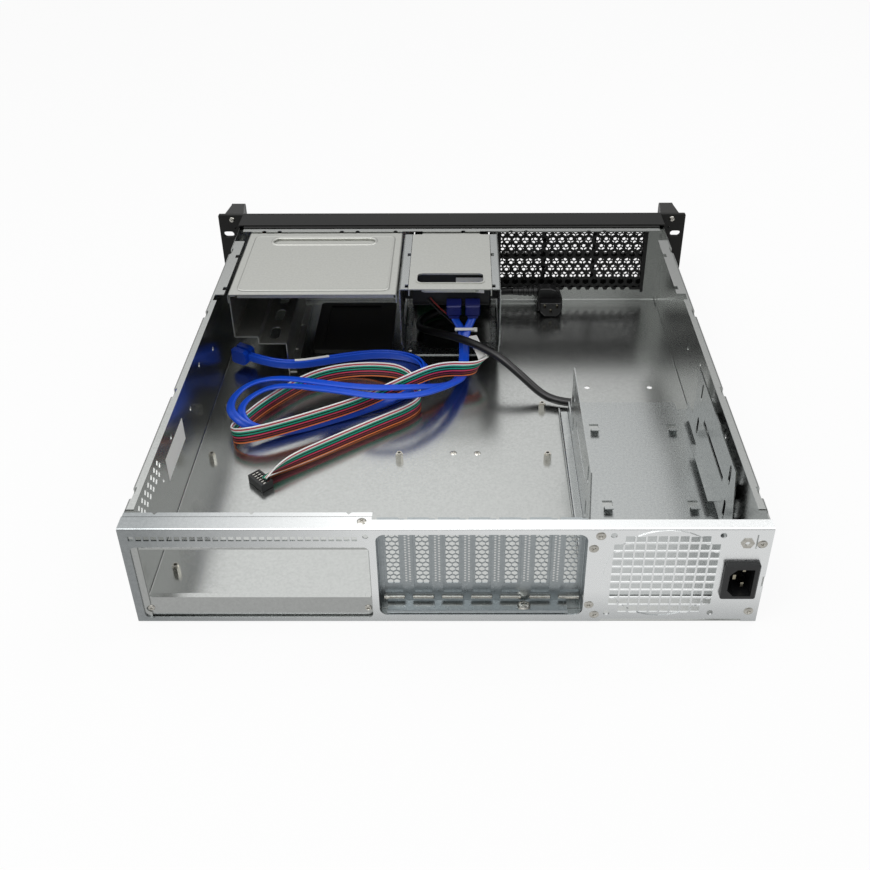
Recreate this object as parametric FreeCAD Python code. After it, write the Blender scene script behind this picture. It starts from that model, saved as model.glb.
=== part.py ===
import FreeCAD, Part
import math
import os

V = FreeCAD.Vector

# ---------------------------------------------------------------- driving sizes, in millimetres
# Axes: X to the right seen from behind, Y forward from the rear panel to the bezel, Z up.
# The origin is the middle of the tub's underside.
BODY_W = 430.0        # tub, outside
BODY_D = 450.0        # rear panel to front wall, outside
BODY_H = 86.4         # tub without its lid
SHEET = 1.0           # zinc-plated steel sheet
BEND = 0.8            # inside radius of a bend
LAP = 0.05            # play between sheets that lie on each other
FIT = 0.3             # play round a piece that drops into a place

RAIL_W = 6.5          # side wall's top flange
BAY_RAIL_W = 11.0     # the same flange beside the drive bays
BAY_RAIL_L = 107.0
BAY_RAIL_GAP = 32.0   # from that flange to the front wall
RAIL_START = 19.5
RAIL_BREAK = 10.3     # gap between the two flanges
LID_NOTCH_PITCH = 120.0
LID_NOTCH_FIRST = 36.6
LID_NOTCH_L = 12.0
LID_NOTCH_DEPTH = 3.0
CORNER_FLANGE = 10.5  # side wall's return behind the rear panel

IO_X = -130.0         # middle of the connector window
IO_POCKET_W = 158.7
IO_POCKET_LOW = 4.3
IO_POCKET_TOP = 70.3
IO_WINDOW_W = 152.6
IO_WINDOW_LOW = 22.0
IO_WINDOW_H = 44.45
IO_LIP = 4.0

SLOTS = 7
SLOT_PITCH = 20.32
SLOT_FIRST_X = -36.4
SLOT_DEPTH = 12.0     # rear face to the recessed slot wall
SLOT_OPEN_LEFT = -46.0
SLOT_OPEN_RIGHT = 94.0
SLOT_OPEN_LOW = 7.0
SLOT_OPEN_MARGIN = 5.0
SLOT_GAP_W = 12.7     # opening that each cover closes
SLOT_COVER_W = 18.4
SLOT_COVER_T = 0.9
SLOT_LEDGE_Z = 8.8
SLOT_VENT_W = 5.2
SLOT_VENT_ROWS = 4
SLOT_VENT_PITCH = 12.2

GRILLE_X = 146.4      # power-supply fan grille
GRILLE_RISE = 1.8     # above the middle of the panel's height
GRILLE_CELLS = 10
GRILLE_PITCH = 7.15
GRILLE_CELL = 5.9
FAN_HOLE_PITCH = 71.5
RING_R = 40.5
INLET_X = 198.0
INLET_Z = 41.2
INLET_CUT_W = 20.0
INLET_CUT_H = 27.6

CRADLE_LEFT = 104.0   # power-supply cradle
CRADLE_RIGHT = 209.5
CRADLE_START = 24.0
CRADLE_END = 250.0
CHEEK_TOP = 70.0
CHEEK_START = 78.0
CHEEK_END = 215.0

BAY_LEFT = -202.0     # 5.25-inch bay
BAY_RIGHT = -48.3
BAY_L = 125.0
BAY_GAP = 12.0        # from the bay to the front wall
BAY_SINK = 1.4        # bay cover below the tub's edge
BAY_OPEN_LEFT = -200.0
BAY_OPEN_RIGHT = -52.0
BAY_OPEN_H = 41.0

CAGE_W = 93.0         # drive cage, outside
CAGE_L = 112.0
CAGE_GAP = 18.0       # from the cage to the front wall
CAGE_FLANGE = 8.0
CAGE_FOOT_GAP = 22.0
DOCK_H = 38.0
DOCK_SINK = 4.4       # dock and bay openings below the tub's edge
DOCK_L = 108.0

MESH_LEFT = 50.0      # perforated field of the front wall
MESH_RIGHT = 197.0
MESH_LOW = 14.0
MESH_MARGIN = 4.4
MESH_PITCH = 15.0
MESH_WEB = 1.3
MESH_SHEET = 0.8      # perforated sheet over the air window
MESH_EDGE = 3.0       # and how far it laps the window's edge
WALL_FLANGE = 11.0

BEZEL_OVER_H = 1.7    # bezel beyond the tub, upward
BEZEL_OVER_W = 1.5    # and to each side
BEZEL_DEPTH = 24.0    # front wall to the rear face of the rack ears
BEZEL_WALL = 1.2
BEZEL_LAP = 4.0       # how far the bezel's frame laps the tub
PLATE_T = 4.0
RACK_W = 482.6
RACK_HOLE_MARGIN = 8.75
RACK_HOLE_PITCH_Z = 44.45
RACK_SLOT_L = 11.0
RACK_SLOT_W = 6.6
WINDOW_W = 49.0
WINDOW_H = 26.2
WINDOW_FIRST_X = 71.0
WINDOW_PITCH_X = 52.4
WINDOW_LOW_Z = 25.6
WINDOW_PITCH_Z = 30.4

HANDLE_INSET = 15.3
HANDLE_W = 13.5
HANDLE_PAD_W = 20.0
HANDLE_REACH = 32.0
HANDLE_BAR = 10.0
HANDLE_MARGIN = 1.6

POWER_X = -24.0
RESET_X = -6.0
CONTROL_Z = 24.0
POWER_D = 12.0
RESET_D = 6.0
POWER_TRAVEL = 2.5
RESET_TRAVEL = 1.5
LAMP_XS = (8.0, 17.0)
LAMP_D = 3.2

STANDOFF_H = 7.0
STANDOFF_AF = 5.5
BOARD_LEFT = -199.4   # first hole column of the main board
BOARD_REAR = 15.3     # rear edge of the main board
STANDOFFS = ((0.0, 33.02), (0.0, 165.1), (0.0, 237.49),
             (157.48, 165.1), (281.94, 165.1), (281.94, 237.49))

LEAD_W = 8.0          # flat SATA lead
LEAD_T = 2.3
RIBBON_W = 15.6       # front-panel ribbon, twelve wires
RIBBON_T = 1.3
MAINS_D = 7.4
EARTH_D = 2.6
THIN_WIRE_D = 1.5

# ---------------------------------------------------------------- places worked out from them
REAR = -BODY_D / 2
FRONT = BODY_D / 2
HALF_W = BODY_W / 2
FLOOR = SHEET + LAP
BAY_RAIL_END = BODY_D - BAY_RAIL_GAP
BAY_RAIL_START = BAY_RAIL_END - BAY_RAIL_L
RAIL_END = BAY_RAIL_START - RAIL_BREAK
SLOT_OPEN_TOP = BODY_H - SLOT_OPEN_MARGIN
GRILLE_Z = BODY_H / 2 + GRILLE_RISE
VENT_Z = (IO_POCKET_TOP + BODY_H - SHEET) / 2
EARTH_Z = BODY_H - 12.4
BAY_FRONT = BODY_D - BAY_GAP
BAY_REAR = BAY_FRONT - BAY_L
BAY_TOP = BODY_H - BAY_SINK
BAY_OPEN_TOP = BODY_H - DOCK_SINK
BAY_OPEN_LOW = BAY_OPEN_TOP - BAY_OPEN_H
CAGE_FRONT = BODY_D - CAGE_GAP
CAGE_REAR = CAGE_FRONT - CAGE_L
CAGE_FOOT_END = CAGE_REAR + CAGE_FOOT_GAP
CAGE_SCREW = CAGE_REAR + 30.0
DOCK_LOW = BODY_H - DOCK_SINK - DOCK_H
MESH_TOP = BODY_H - MESH_MARGIN
BEZEL_H = BODY_H + BEZEL_OVER_H
BEZEL_W = BODY_W + 2 * BEZEL_OVER_W
PLATE_BACK = BODY_D + BEZEL_DEPTH
DOCK_REAR = PLATE_BACK - DOCK_L
RACK_HOLE_PITCH_X = RACK_W - 2 * RACK_HOLE_MARGIN
HANDLE_X = RACK_W / 2 - HANDLE_INSET
HANDLE_TOP = BEZEL_H - HANDLE_MARGIN
HANDLE_LOW = HANDLE_MARGIN


def ahead(distance):
    """Y of a place that lies this far ahead of the rear panel's outer face."""
    return REAR + distance


# ---------------------------------------------------------------- shapes
def block(x0, x1, y0, y1, z0, z1):
    return Part.makeBox(x1 - x0, y1 - y0, z1 - z0, V(x0, y0, z0))


def rod(centre, direction, radius, length):
    return Part.makeCylinder(radius, length, centre, direction)


def prism(points, direction):
    """Closed outline pushed along a direction."""
    wire = Part.makePolygon(list(points) + [points[0]])
    return Part.Face(wire).extrude(direction)


def skin(rings):
    """Closed solid through rings of points, two flat facets to each side, flat at both ends."""
    faces = [Part.Face(Part.makePolygon(ring + [ring[0]])) for ring in (rings[0], rings[-1])]
    for a, b in zip(rings, rings[1:]):
        for p in range(len(a)):
            q = (p + 1) % len(a)
            faces.append(Part.Face(Part.makePolygon([a[p], a[q], b[q], a[p]])))
            faces.append(Part.Face(Part.makePolygon([a[p], b[q], b[p], a[p]])))
    solid = Part.Solid(Part.Shell(faces))
    if solid.Volume < 0:
        solid.reverse()
    return solid


def ring_points(centre, direction, radius, sides):
    """Corners of a regular polygon round an axis."""
    first = direction.cross(V(0, 0, 1))
    if first.Length < 0.1:
        first = V(1, 0, 0)
    first.normalize()
    second = direction.cross(first)
    second.normalize()
    angles = [2 * math.pi * k / sides for k in range(sides)]
    return [centre + first * (radius * math.cos(a)) + second * (radius * math.sin(a)) for a in angles]


def bar(centre, direction, radius, length, sides=10):
    """Small round bar or hole with flat sides."""
    return prism(ring_points(centre, direction, radius, sides), direction * length)


def head(centre, direction, low, high, length, sides=12):
    """Low screw head: a many-sided frustum that goes from one radius to another."""
    return skin([ring_points(centre, direction, low, sides),
                 ring_points(centre + direction * length, direction, high, sides)])


def clipped_corners(width, height, clip):
    """Rectangle round the origin of its plane, with its corners cut off."""
    w, h = width / 2, height / 2
    return ((w, h - clip), (w - clip, h), (-w + clip, h), (-w, h - clip),
            (-w, -h + clip), (-w + clip, -h), (w - clip, -h), (w, -h + clip))


def clipped_plate_y(x, z, width, height, clip, y0, y1):
    """That rectangle in the XZ plane, from y0 to y1."""
    return prism([V(x + u, y0, z + v) for u, v in clipped_corners(width, height, clip)], V(0, y1 - y0, 0))


def clipped_plate_z(x, y, width, depth, clip, z0, z1):
    """That rectangle in the XY plane, from z0 to z1."""
    return prism([V(x + u, y + v, z0) for u, v in clipped_corners(width, depth, clip)], V(0, 0, z1 - z0))


def rounded_outline(width, height, radius):
    """Rounded rectangle round the origin of its plane, as a list of edges in X and Y."""
    w, h, r = width / 2, height / 2, radius
    d = r * math.sqrt(0.5)
    edges = []
    corners = ((w - r, h - r, 1, 1), (-w + r, h - r, -1, 1), (-w + r, -h + r, -1, -1), (w - r, -h + r, 1, -1))
    for i, (cx, cy, sx, sy) in enumerate(corners):
        along_x = (i % 2) == 0
        start = V(cx + sx * r, cy, 0) if along_x else V(cx, cy + sy * r, 0)
        end = V(cx, cy + sy * r, 0) if along_x else V(cx + sx * r, cy, 0)
        edges.append(Part.Arc(start, V(cx + sx * d, cy + sy * d, 0), end).toShape())
        nx, ny, tx, ty = corners[(i + 1) % 4]
        following = V(nx, ny + ty * r, 0) if along_x else V(nx + tx * r, ny, 0)
        edges.append(Part.LineSegment(end, following).toShape())
    return edges


def round_plate_y(x, z, width, height, radius, y0, y1):
    """Rounded rectangle in the XZ plane, from y0 to y1."""
    face = Part.Face(Part.Wire(rounded_outline(width, height, radius)))
    solid = face.extrude(V(0, 0, y1 - y0))
    solid.rotate(V(0, 0, 0), V(1, 0, 0), -90)
    solid.translate(V(x, y0, z))
    return solid


def round_plate_z(x, y, width, depth, radius, z0, z1):
    """Rounded rectangle in the XY plane, from z0 to z1."""
    face = Part.Face(Part.Wire(rounded_outline(width, depth, radius)))
    solid = face.extrude(V(0, 0, z1 - z0))
    solid.translate(V(x, y, z0))
    return solid


def polygon_y(x, z, sides, across, y0, y1, turn=0.0):
    """Regular prism along Y; across is the distance over its flats."""
    radius = across / 2 / math.cos(math.pi / sides)
    points = []
    for i in range(sides):
        a = math.radians(turn) + 2 * math.pi * i / sides
        points.append(V(x + radius * math.cos(a), y0, z + radius * math.sin(a)))
    return prism(points, V(0, y1 - y0, 0))


def offset_line(points, distance):
    """Open line of (u, v) points moved to its left by a distance, with mitred corners."""
    normals = []
    for (u0, v0), (u1, v1) in zip(points, points[1:]):
        length = math.hypot(u1 - u0, v1 - v0)
        normals.append((-(v1 - v0) / length, (u1 - u0) / length))
    moved = [(points[0][0] + distance * normals[0][0], points[0][1] + distance * normals[0][1])]
    for (u, v), a, b in zip(points[1:-1], normals, normals[1:]):
        scale = distance / (1 + a[0] * b[0] + a[1] * b[1])
        moved.append((u + scale * (a[0] + b[0]), v + scale * (a[1] + b[1])))
    moved.append((points[-1][0] + distance * normals[-1][0], points[-1][1] + distance * normals[-1][1]))
    return moved


def rounded_path(points, radii):
    """Straight runs through 3-D points, joined by tangent arcs of the given radii."""
    edges = []
    at = points[0]
    for before, corner, after, radius in zip(points, points[1:], points[2:], radii):
        a = (before - corner).normalize()
        b = (after - corner).normalize()
        half = a.getAngle(b) / 2
        reach = radius / math.tan(half)
        start = corner + a * reach
        end = corner + b * reach
        middle = (a + b).normalize()
        mid = corner + middle * (radius / math.sin(half) - radius)
        if (start - at).Length > 1e-6:
            edges.append(Part.LineSegment(at, start).toShape())
        edges.append(Part.Arc(start, mid, end).toShape())
        at = end
    edges.append(Part.LineSegment(at, points[-1]).toShape())
    return edges


def folded(line, thickness, place, sweep, bend=BEND):
    """Sheet of one thickness folded along an open line of (u, v) points and pushed along sweep.

    The sheet lies to the left of the line, or to its right where the thickness is negative;
    place turns (u, v) into a point."""
    other = offset_line(line, thickness)
    near, far = [], []
    for p, q, r in zip(line, line[1:], line[2:]):
        turn = (q[0] - p[0]) * (r[1] - q[1]) - (q[1] - p[1]) * (r[0] - q[0])
        outside = turn * thickness > 0
        near.append(bend + abs(thickness) if outside else bend)
        far.append(bend if outside else bend + abs(thickness))
    first = rounded_path([place(*p) for p in line], near)
    second = rounded_path([place(*p) for p in other], far)
    ends = [Part.LineSegment(place(*line[-1]), place(*other[-1])).toShape(),
            Part.LineSegment(place(*line[0]), place(*other[0])).toShape()]
    wire = Part.Wire(Part.__sortEdges__(first + second + ends))
    return Part.Face(wire).extrude(sweep)


def in_xz(y):
    return lambda u, v: V(u, y, v)


def in_yz(x):
    return lambda u, v: V(x, u, v)


def in_xy(z):
    return lambda u, v: V(u, v, z)


def cut(solid, tools):
    tools = [t for t in tools if t is not None]
    return solid.cut(Part.makeCompound(tools)) if tools else solid


def fused(solids):
    solid = solids[0]
    return solid.fuse(solids[1:]).removeSplitter() if len(solids) > 1 else solid


def save(name, solids):
    shape = solids if hasattr(solids, "exportStep") else Part.makeCompound(list(solids))
    shape.exportStep("parts/%s.step" % name)
    print("%-22s %2d solids %10.1f mm3" % (name, len(shape.Solids), shape.Volume))
    return shape


# ---------------------------------------------------------------- tub
def lid_notches(side):
    """Gaps in the tub's upper edge that the lid's hooks drop into."""
    outer = side * (HALF_W + 1)
    inner = side * (HALF_W - LID_NOTCH_DEPTH)
    for i in range(4):
        y = ahead(LID_NOTCH_FIRST + i * LID_NOTCH_PITCH)
        low, high = sorted((outer, inner))
        yield block(low, high, y - LID_NOTCH_L / 2, y + LID_NOTCH_L / 2, BODY_H - 4.5, BODY_H + 1)


def wall_vents(x0, x1):
    """Perforated field at the rear of the left wall."""
    for row in range(3):
        for i in range(8):
            y = ahead(34.0 + 8.4 * i + 4.2 * (row % 2))
            z = BODY_H - 29.9 + 5.4 * row
            points = [V(x0, y - 2.6, z), V(x0, y, z - 2.6), V(x0, y + 2.6, z), V(x0, y, z + 2.6)]
            yield prism(points, V(x1 - x0, 0, 0))


def slide_rail_holes(side):
    """Plain holes of the rack slides, in two rows."""
    start = V(side * (HALF_W - 2 * SHEET), 0, 0)
    low = ((99.3, 45.7), (191.5, 45.7), (283.7, 45.7))
    high = ((133.0, 60.5), (235.0, 60.5))
    for distance, z in low + high:
        yield bar(start + V(0, ahead(distance), z), V(side, 0, 0), 2.1, 3 * SHEET, 8)


def tub():
    profile = [(-HALF_W + BAY_RAIL_W, BODY_H), (-HALF_W, BODY_H), (-HALF_W, 0), (HALF_W, 0),
               (HALF_W, BODY_H), (HALF_W - BAY_RAIL_W, BODY_H)]
    body = folded(profile, SHEET, in_xz(ahead(SHEET)), V(0, BODY_D - 2 * SHEET, 0))
    trims = []
    for side in (-1, 1):
        inner = side * (HALF_W - BAY_RAIL_W - 1)
        rail = side * (HALF_W - RAIL_W)
        wall = side * (HALF_W - SHEET)
        runs = ((0.0, RAIL_START, wall), (RAIL_START, RAIL_END, rail),
                (RAIL_END, BAY_RAIL_START, side * (HALF_W - 3.0)), (BAY_RAIL_END, BODY_D, wall))
        for start, end, edge in runs:
            low, high = sorted((inner, edge))
            trims.append(block(low, high, ahead(start), ahead(end), BODY_H - 2.0, BODY_H + 1))
        for distance in (BAY_RAIL_START + 11.0, BAY_RAIL_START + 74.5):
            low, high = sorted((inner, side * (HALF_W - BAY_RAIL_W + 3.0)))
            trims.append(block(low, high, ahead(distance - 3), ahead(distance + 3), BODY_H - 2, BODY_H + 1))
        trims.extend(lid_notches(side))
        trims.extend(slide_rail_holes(side))
    trims.append(block(-HALF_W - 1, HALF_W + 1, ahead(0), ahead(RAIL_START - 1.0), BODY_H - 2 * SHEET - 0.1, BODY_H + 1))
    trims.extend(wall_vents(-HALF_W - 1, -HALF_W + 2 * SHEET))
    body = cut(body, trims)
    corners = []
    for side in (-1, 1):
        line = [(side * (HALF_W - CORNER_FLANGE), ahead(SHEET + LAP)), (side * (HALF_W - SHEET), ahead(SHEET + LAP))]
        low, high = sorted((line[0][0], line[1][0]))
        corners.append(block(low, high, line[0][1], line[0][1] + SHEET, SHEET, BODY_H - 6.0))
    floor_cuts = [bar(V(x, ahead(y), -1), V(0, 0, 1), 2.7, 4 * SHEET, 8) for x, y in FLOOR_HOLES]
    screw_gap = bar(V(-204.6, ahead(SHEET), 12.0), V(0, 1, 0), 3.3, 2 * SHEET, 8)
    inlet_gap = block(INLET_X, HALF_W - SHEET - 3.0, ahead(SHEET), ahead(3 * SHEET), INLET_Z - 17.0, INLET_Z + 17.0)
    return cut(fused([body] + corners), floor_cuts + [inlet_gap, screw_gap])


FLOOR_HOLES = ((3.4, 188.7), (23.7, 188.2), (126.5, 286.6), (184.2, 286.5))


# ---------------------------------------------------------------- rear panel
def slot_x(i):
    return SLOT_FIRST_X + i * SLOT_PITCH


def vent_row(y0, y1):
    """Thirty small vents under the panel's upper edge."""
    for i in range(30):
        x = -207.0 + i * 5.08
        yield block(x - 1.85, x + 1.85, y0, y1, VENT_Z - 1.9, VENT_Z + 1.9)


def grille_cells(y0, y1):
    """Square cells of the fan grille; the four corners stay closed."""
    last = GRILLE_CELLS - 1
    for i in range(GRILLE_CELLS):
        for j in range(GRILLE_CELLS):
            if i in (0, last) and j in (0, last):
                continue
            x = GRILLE_X + (i - last / 2) * GRILLE_PITCH
            z = GRILLE_Z + (j - last / 2) * GRILLE_PITCH
            half = GRILLE_CELL / 2
            yield block(x - half, x + half, y0, y1, z - half, z + half)


def fan_holes(radius, y0, y1):
    for sx in (-0.5, 0.5):
        for sz in (-0.5, 0.5):
            centre = V(GRILLE_X + sx * FAN_HOLE_PITCH, y0, GRILLE_Z + sz * FAN_HOLE_PITCH)
            yield rod(centre, V(0, 1, 0), radius, y1 - y0)


def rear_screw_places():
    """Countersunk screws on the rear panel's outer face, as (x, z)."""
    return ((102.1, BODY_H - 6.2), (98.1, BODY_H - 17.3), (98.0, 16.9), (102.3, 7.4),
            (208.6, BODY_H - 13.4), (208.7, 10.6))


def rear_panel():
    """Flat panel with a top flange that is wide over the connector window and narrow beyond it."""
    y0, y1 = ahead(0), ahead(SHEET)
    wide_end = IO_X + IO_POCKET_W / 2 + 2.0
    depth_wide, depth_narrow, joggle = 17.6, 9.3, 12.4
    wide = folded([(ahead(0), 0.8), (ahead(0), BODY_H), (ahead(joggle), BODY_H),
                   (ahead(joggle + 1.2), BODY_H - 1.0), (ahead(depth_wide), BODY_H - 1.0)],
                  -SHEET, in_yz(-HALF_W), V(wide_end + HALF_W, 0, 0), 0.4)
    narrow = folded([(ahead(0), 0.8), (ahead(0), BODY_H), (ahead(depth_narrow), BODY_H)],
                    -SHEET, in_yz(wide_end), V(HALF_W - wide_end, 0, 0), 0.4)
    panel = fused([wide, narrow])
    pocket_h = IO_POCKET_TOP - IO_POCKET_LOW
    slot_w = SLOT_OPEN_RIGHT - SLOT_OPEN_LEFT
    slot_h = SLOT_OPEN_TOP - SLOT_OPEN_LOW
    tools = [
        round_plate_y(IO_X, IO_POCKET_LOW + pocket_h / 2, IO_POCKET_W, pocket_h, 4.0, y0 - 1, y1 + 0.5),
        round_plate_y(SLOT_OPEN_LEFT + slot_w / 2, SLOT_OPEN_LOW + slot_h / 2, slot_w, slot_h, 6.0,
                      y0 - 1, y1 + 0.5),
        block(INLET_X - INLET_CUT_W / 2, INLET_X + INLET_CUT_W / 2, y0 - 1, y1 + 1,
              INLET_Z - INLET_CUT_H / 2, INLET_Z + INLET_CUT_H / 2),
        block(204.3, 205.3, y0 - 1, y1 + 1, BODY_H - 17.6, BODY_H - 5.1),
        block(HALF_W - 1.6, HALF_W + 1, y0 - 1, y1 + 1, 34.5, 43.5),
        block(106.6, 204.4, y0 - 1, y1 + 1, 0, 3.0),
        bar(V(-52.4, y0 - 1, BODY_H - 6.6), V(0, 1, 0), 2.0, 3, 8),
    ]
    for x in (-194.0, -129.2, -64.4):
        tools.append(prism([V(x - 2, ahead(depth_wide) + 0.1, BODY_H - 3), V(x + 2, ahead(depth_wide) + 0.1, BODY_H - 3),
                            V(x, ahead(depth_wide) - 2.2, BODY_H - 3)], V(0, 0, 4)))
    tools.extend(vent_row(y0 - 1, y1 + 0.5))
    ring = bar(V(GRILLE_X, y0 - 0.6, GRILLE_Z), V(0, 1, 0), RING_R, 1.1, 36)
    ring = ring.cut(bar(V(GRILLE_X, y0 - 1, GRILLE_Z), V(0, 1, 0), RING_R - 2.4, 2, 36))
    ring = ring.common(block(-HALF_W, HALF_W, y0 - 1, y1, 1.0, BODY_H - 0.8))
    ring = ring.cut(block(INLET_X - 12.3, INLET_X + 1, y0 - 1, y1, INLET_Z - 16.1, INLET_Z + 16.1))
    panel = panel.fuse(ring)
    tools.extend(grille_cells(y0 - 1, y1 + 1))
    tools.extend(fan_holes(2.2, y0 - 1, y1 + 1))
    return cut(panel, tools)


def io_window_frame():
    """Frame behind the pocket, with the window for the board's connectors and a lip under it."""
    y0 = ahead(2 * (SHEET + LAP))
    left = IO_X - IO_POCKET_W / 2 - 2.5
    right = IO_X + IO_POCKET_W / 2 + 1.5
    low, top = FLOOR + 1.0, IO_POCKET_TOP + 4.0
    plate = block(left, right, y0, y0 + SHEET, low, top)
    lip = block(IO_X - IO_WINDOW_W / 2 + 2, IO_X + IO_WINDOW_W / 2 - 2, y0, y0 + IO_LIP,
                IO_WINDOW_LOW - SHEET, IO_WINDOW_LOW)
    window = round_plate_y(IO_X + 2.3, IO_WINDOW_LOW + IO_WINDOW_H / 2, IO_WINDOW_W, IO_WINDOW_H, 0.8,
                           y0 - 1, y0 + SHEET + 0.5)
    tools = [window]
    for i in range(22):
        x = IO_X - 69.4 + i * 6.72
        tools.append(block(x - 2.8, x + 2.8, y0 - 1, y0 + SHEET + 1, 68.0, 70.0))
    return cut(plate, tools).fuse(lip).removeSplitter()


# ---------------------------------------------------------------- expansion slots
def slot_frame():
    """Pan recessed behind the rear panel: side cheeks, slot wall, sloping ledge and front lip."""
    y0 = ahead(SHEET + LAP)
    wall = ahead(SLOT_DEPTH)
    left, right = SLOT_OPEN_LEFT - 1.0, SLOT_OPEN_RIGHT + 1.0
    low, high = FLOOR + 0.5, BODY_H - SHEET - 3.0
    plan = [(left - 3.0, y0 + SHEET), (left, y0 + SHEET), (left, wall + SHEET), (right, wall + SHEET),
            (right, y0 + SHEET), (right + 9.5, y0 + SHEET)]
    pan = folded(plan, -SHEET, in_xy(low), V(0, 0, high - low), 0.5)
    ledge = folded([(y0, 10.0), (y0, 6.7), (wall + 0.5, SLOT_LEDGE_Z - SHEET)], SHEET, in_yz(left + 6),
                   V(right - left - 17, 0, 0), 0.3)
    straps = []
    tools = []
    for i in range(SLOTS):
        x = slot_x(i)
        tools.append(block(x - SLOT_GAP_W / 2, x + SLOT_GAP_W / 2, wall - 1, wall + SHEET + 1, 17.0, high + 1))
        straps.append(block(x - 6.8, x + 6.8, wall - 1.4, wall + 0.5, 11.6, 13.4))
    return cut(fused([pan, ledge] + straps), tools)


def slot_cover(i):
    """Ventilated blank of one slot: flat blade, tapered tongue and a screw tab bent to the rear."""
    x = slot_x(i)
    y0 = ahead(SLOT_DEPTH + SHEET + LAP)
    top = BODY_H - SHEET - 1.2
    half = SLOT_COVER_W / 2
    blade = prism([V(x - half, y0, top), V(x - half, y0, 17.0), V(x - half + 3.2, y0, 11.0),
                   V(x - half + 3.2, y0, SLOT_LEDGE_Z + 1.0), V(x + half - 3.2, y0, SLOT_LEDGE_Z + 1.0),
                   V(x + half - 3.2, y0, 11.0), V(x + half, y0, 17.0), V(x + half, y0, top)],
                  V(0, SLOT_COVER_T, 0))
    tab = block(x - half, x + half - 4.0, ahead(SHEET + 1.5), y0 + SLOT_COVER_T, top - SLOT_COVER_T, top)
    tools = [bar(V(x - 1.5, ahead(6.0), top - 2), V(0, 0, 1), 2.1, 4, 8)]
    for row in range(SLOT_VENT_ROWS):
        z = top - 55.2 + row * SLOT_VENT_PITCH
        for dx, dz in ((-2.4, 0.0), (2.4, SLOT_VENT_PITCH / 2)):
            tools.append(polygon_y(x + dx, z + dz, 6, SLOT_VENT_W, y0 - 1, y0 + 2, 90.0))
    return cut(blade.fuse(tab).removeSplitter(), tools)


def slot_cover_screws():
    """Pan-head screws in the tabs of the slot covers, under the rear panel's flange."""
    top = BODY_H - SHEET - 1.2
    screws = []
    for i in range(SLOTS):
        x = slot_x(i) - 1.5
        screws.append(bar(V(x, ahead(6.0), top - 5.0), V(0, 0, 1), 1.75, 5.0))
    return screws


# ---------------------------------------------------------------- mains inlet
def chamfered_socket(x, z, width, height, y0, y1):
    """Three-pin inlet outline with its two left corners cut off."""
    w, h = width / 2, height / 2
    points = [V(x - w + 4.6, y0, z + h), V(x + w, y0, z + h), V(x + w, y0, z - h),
              V(x - w + 4.6, y0, z - h), V(x - w, y0, z - h + 5.2), V(x - w, y0, z + h - 5.2)]
    return prism(points, V(0, y1 - y0, 0))


def inlet_housing():
    """Snap-in mains inlet that stands on its side."""
    flange = round_plate_y(INLET_X, INLET_Z, 24.0, 31.6, 1.5, ahead(-4.0), ahead(0) - LAP)
    front = [e for e in flange.Edges if abs(e.CenterOfMass.y - ahead(-4.0)) < 1e-6]
    flange = flange.makeChamfer(1.1, front)
    body = block(INLET_X - INLET_CUT_W / 2 + 0.2, INLET_X + INLET_CUT_W / 2 - 0.2, ahead(-1.0), ahead(20.0),
                 INLET_Z - INLET_CUT_H / 2 + 0.2, INLET_Z + INLET_CUT_H / 2 - 0.2)
    cavity = chamfered_socket(INLET_X, INLET_Z, 16.4, 24.4, ahead(-5.0), ahead(15.0))
    return flange.fuse(body).removeSplitter().cut(cavity)


def inlet_pins():
    """Two pins in line and the earth pin beside them, with their solder tails."""
    pins = []
    for dx, dz in ((3.0, 7.0), (3.0, -7.0), (-3.0, 0.0)):
        x, z = INLET_X + dx, INLET_Z + dz
        pins.append(block(x - 1.0, x + 1.0, ahead(2.0), ahead(15.0), z - 2.0, z + 2.0))
        pins.append(block(x - 0.4, x + 0.4, ahead(20.0), ahead(27.0), z - 2.4, z + 2.4))
    return pins


def earth_stud():
    """Hexagonal rivet nut above the inlet."""
    nut = polygon_y(198.7, EARTH_Z, 6, 8.0, ahead(-0.6), ahead(0) - 0.02, 0.0)
    return nut.cut(bar(V(198.7, ahead(-2.0), EARTH_Z), V(0, 1, 0), 1.7, 4.0))


# ---------------------------------------------------------------- power-supply cradle
def cheek_cuts(x0, x1):
    """Upright fixing slots and a long pressed slot between them."""
    for distance in (90.0, 195.0):
        for z in (24.5, 57.5):
            slot = clipped_plate_y(0, 0, 5.4, 17.0, 1.7, 0, x1 - x0)
            slot.rotate(V(0, 0, 0), V(0, 0, 1), -90)
            slot.translate(V(x0, ahead(distance), z))
            yield slot


def cradle_hooks():
    """Lanced tabs that hold the supply down, bent up out of the plate."""
    z = FLOOR + SHEET
    for x in (126.2, 194.0):
        for distance in (117.0, 219.0):
            y = ahead(distance)
            lanced = [(y - 6.0, z + 3.6), (y - 3.0, z + 3.6), (y, z - 0.5), (y + 0.8, z - 0.5), (y - 2.4, z + 4.4),
                      (y - 6.0, z + 4.4)]
            yield prism([V(x - 3.5, u, v) for u, v in lanced], V(7, 0, 0))


def hook_openings():
    for x in (126.2, 194.0):
        for distance in (117.0, 219.0):
            yield block(x - 4.0, x + 4.0, ahead(distance + 1.0), ahead(distance + 9.0), 0.5, FLOOR + SHEET + 1)


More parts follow.
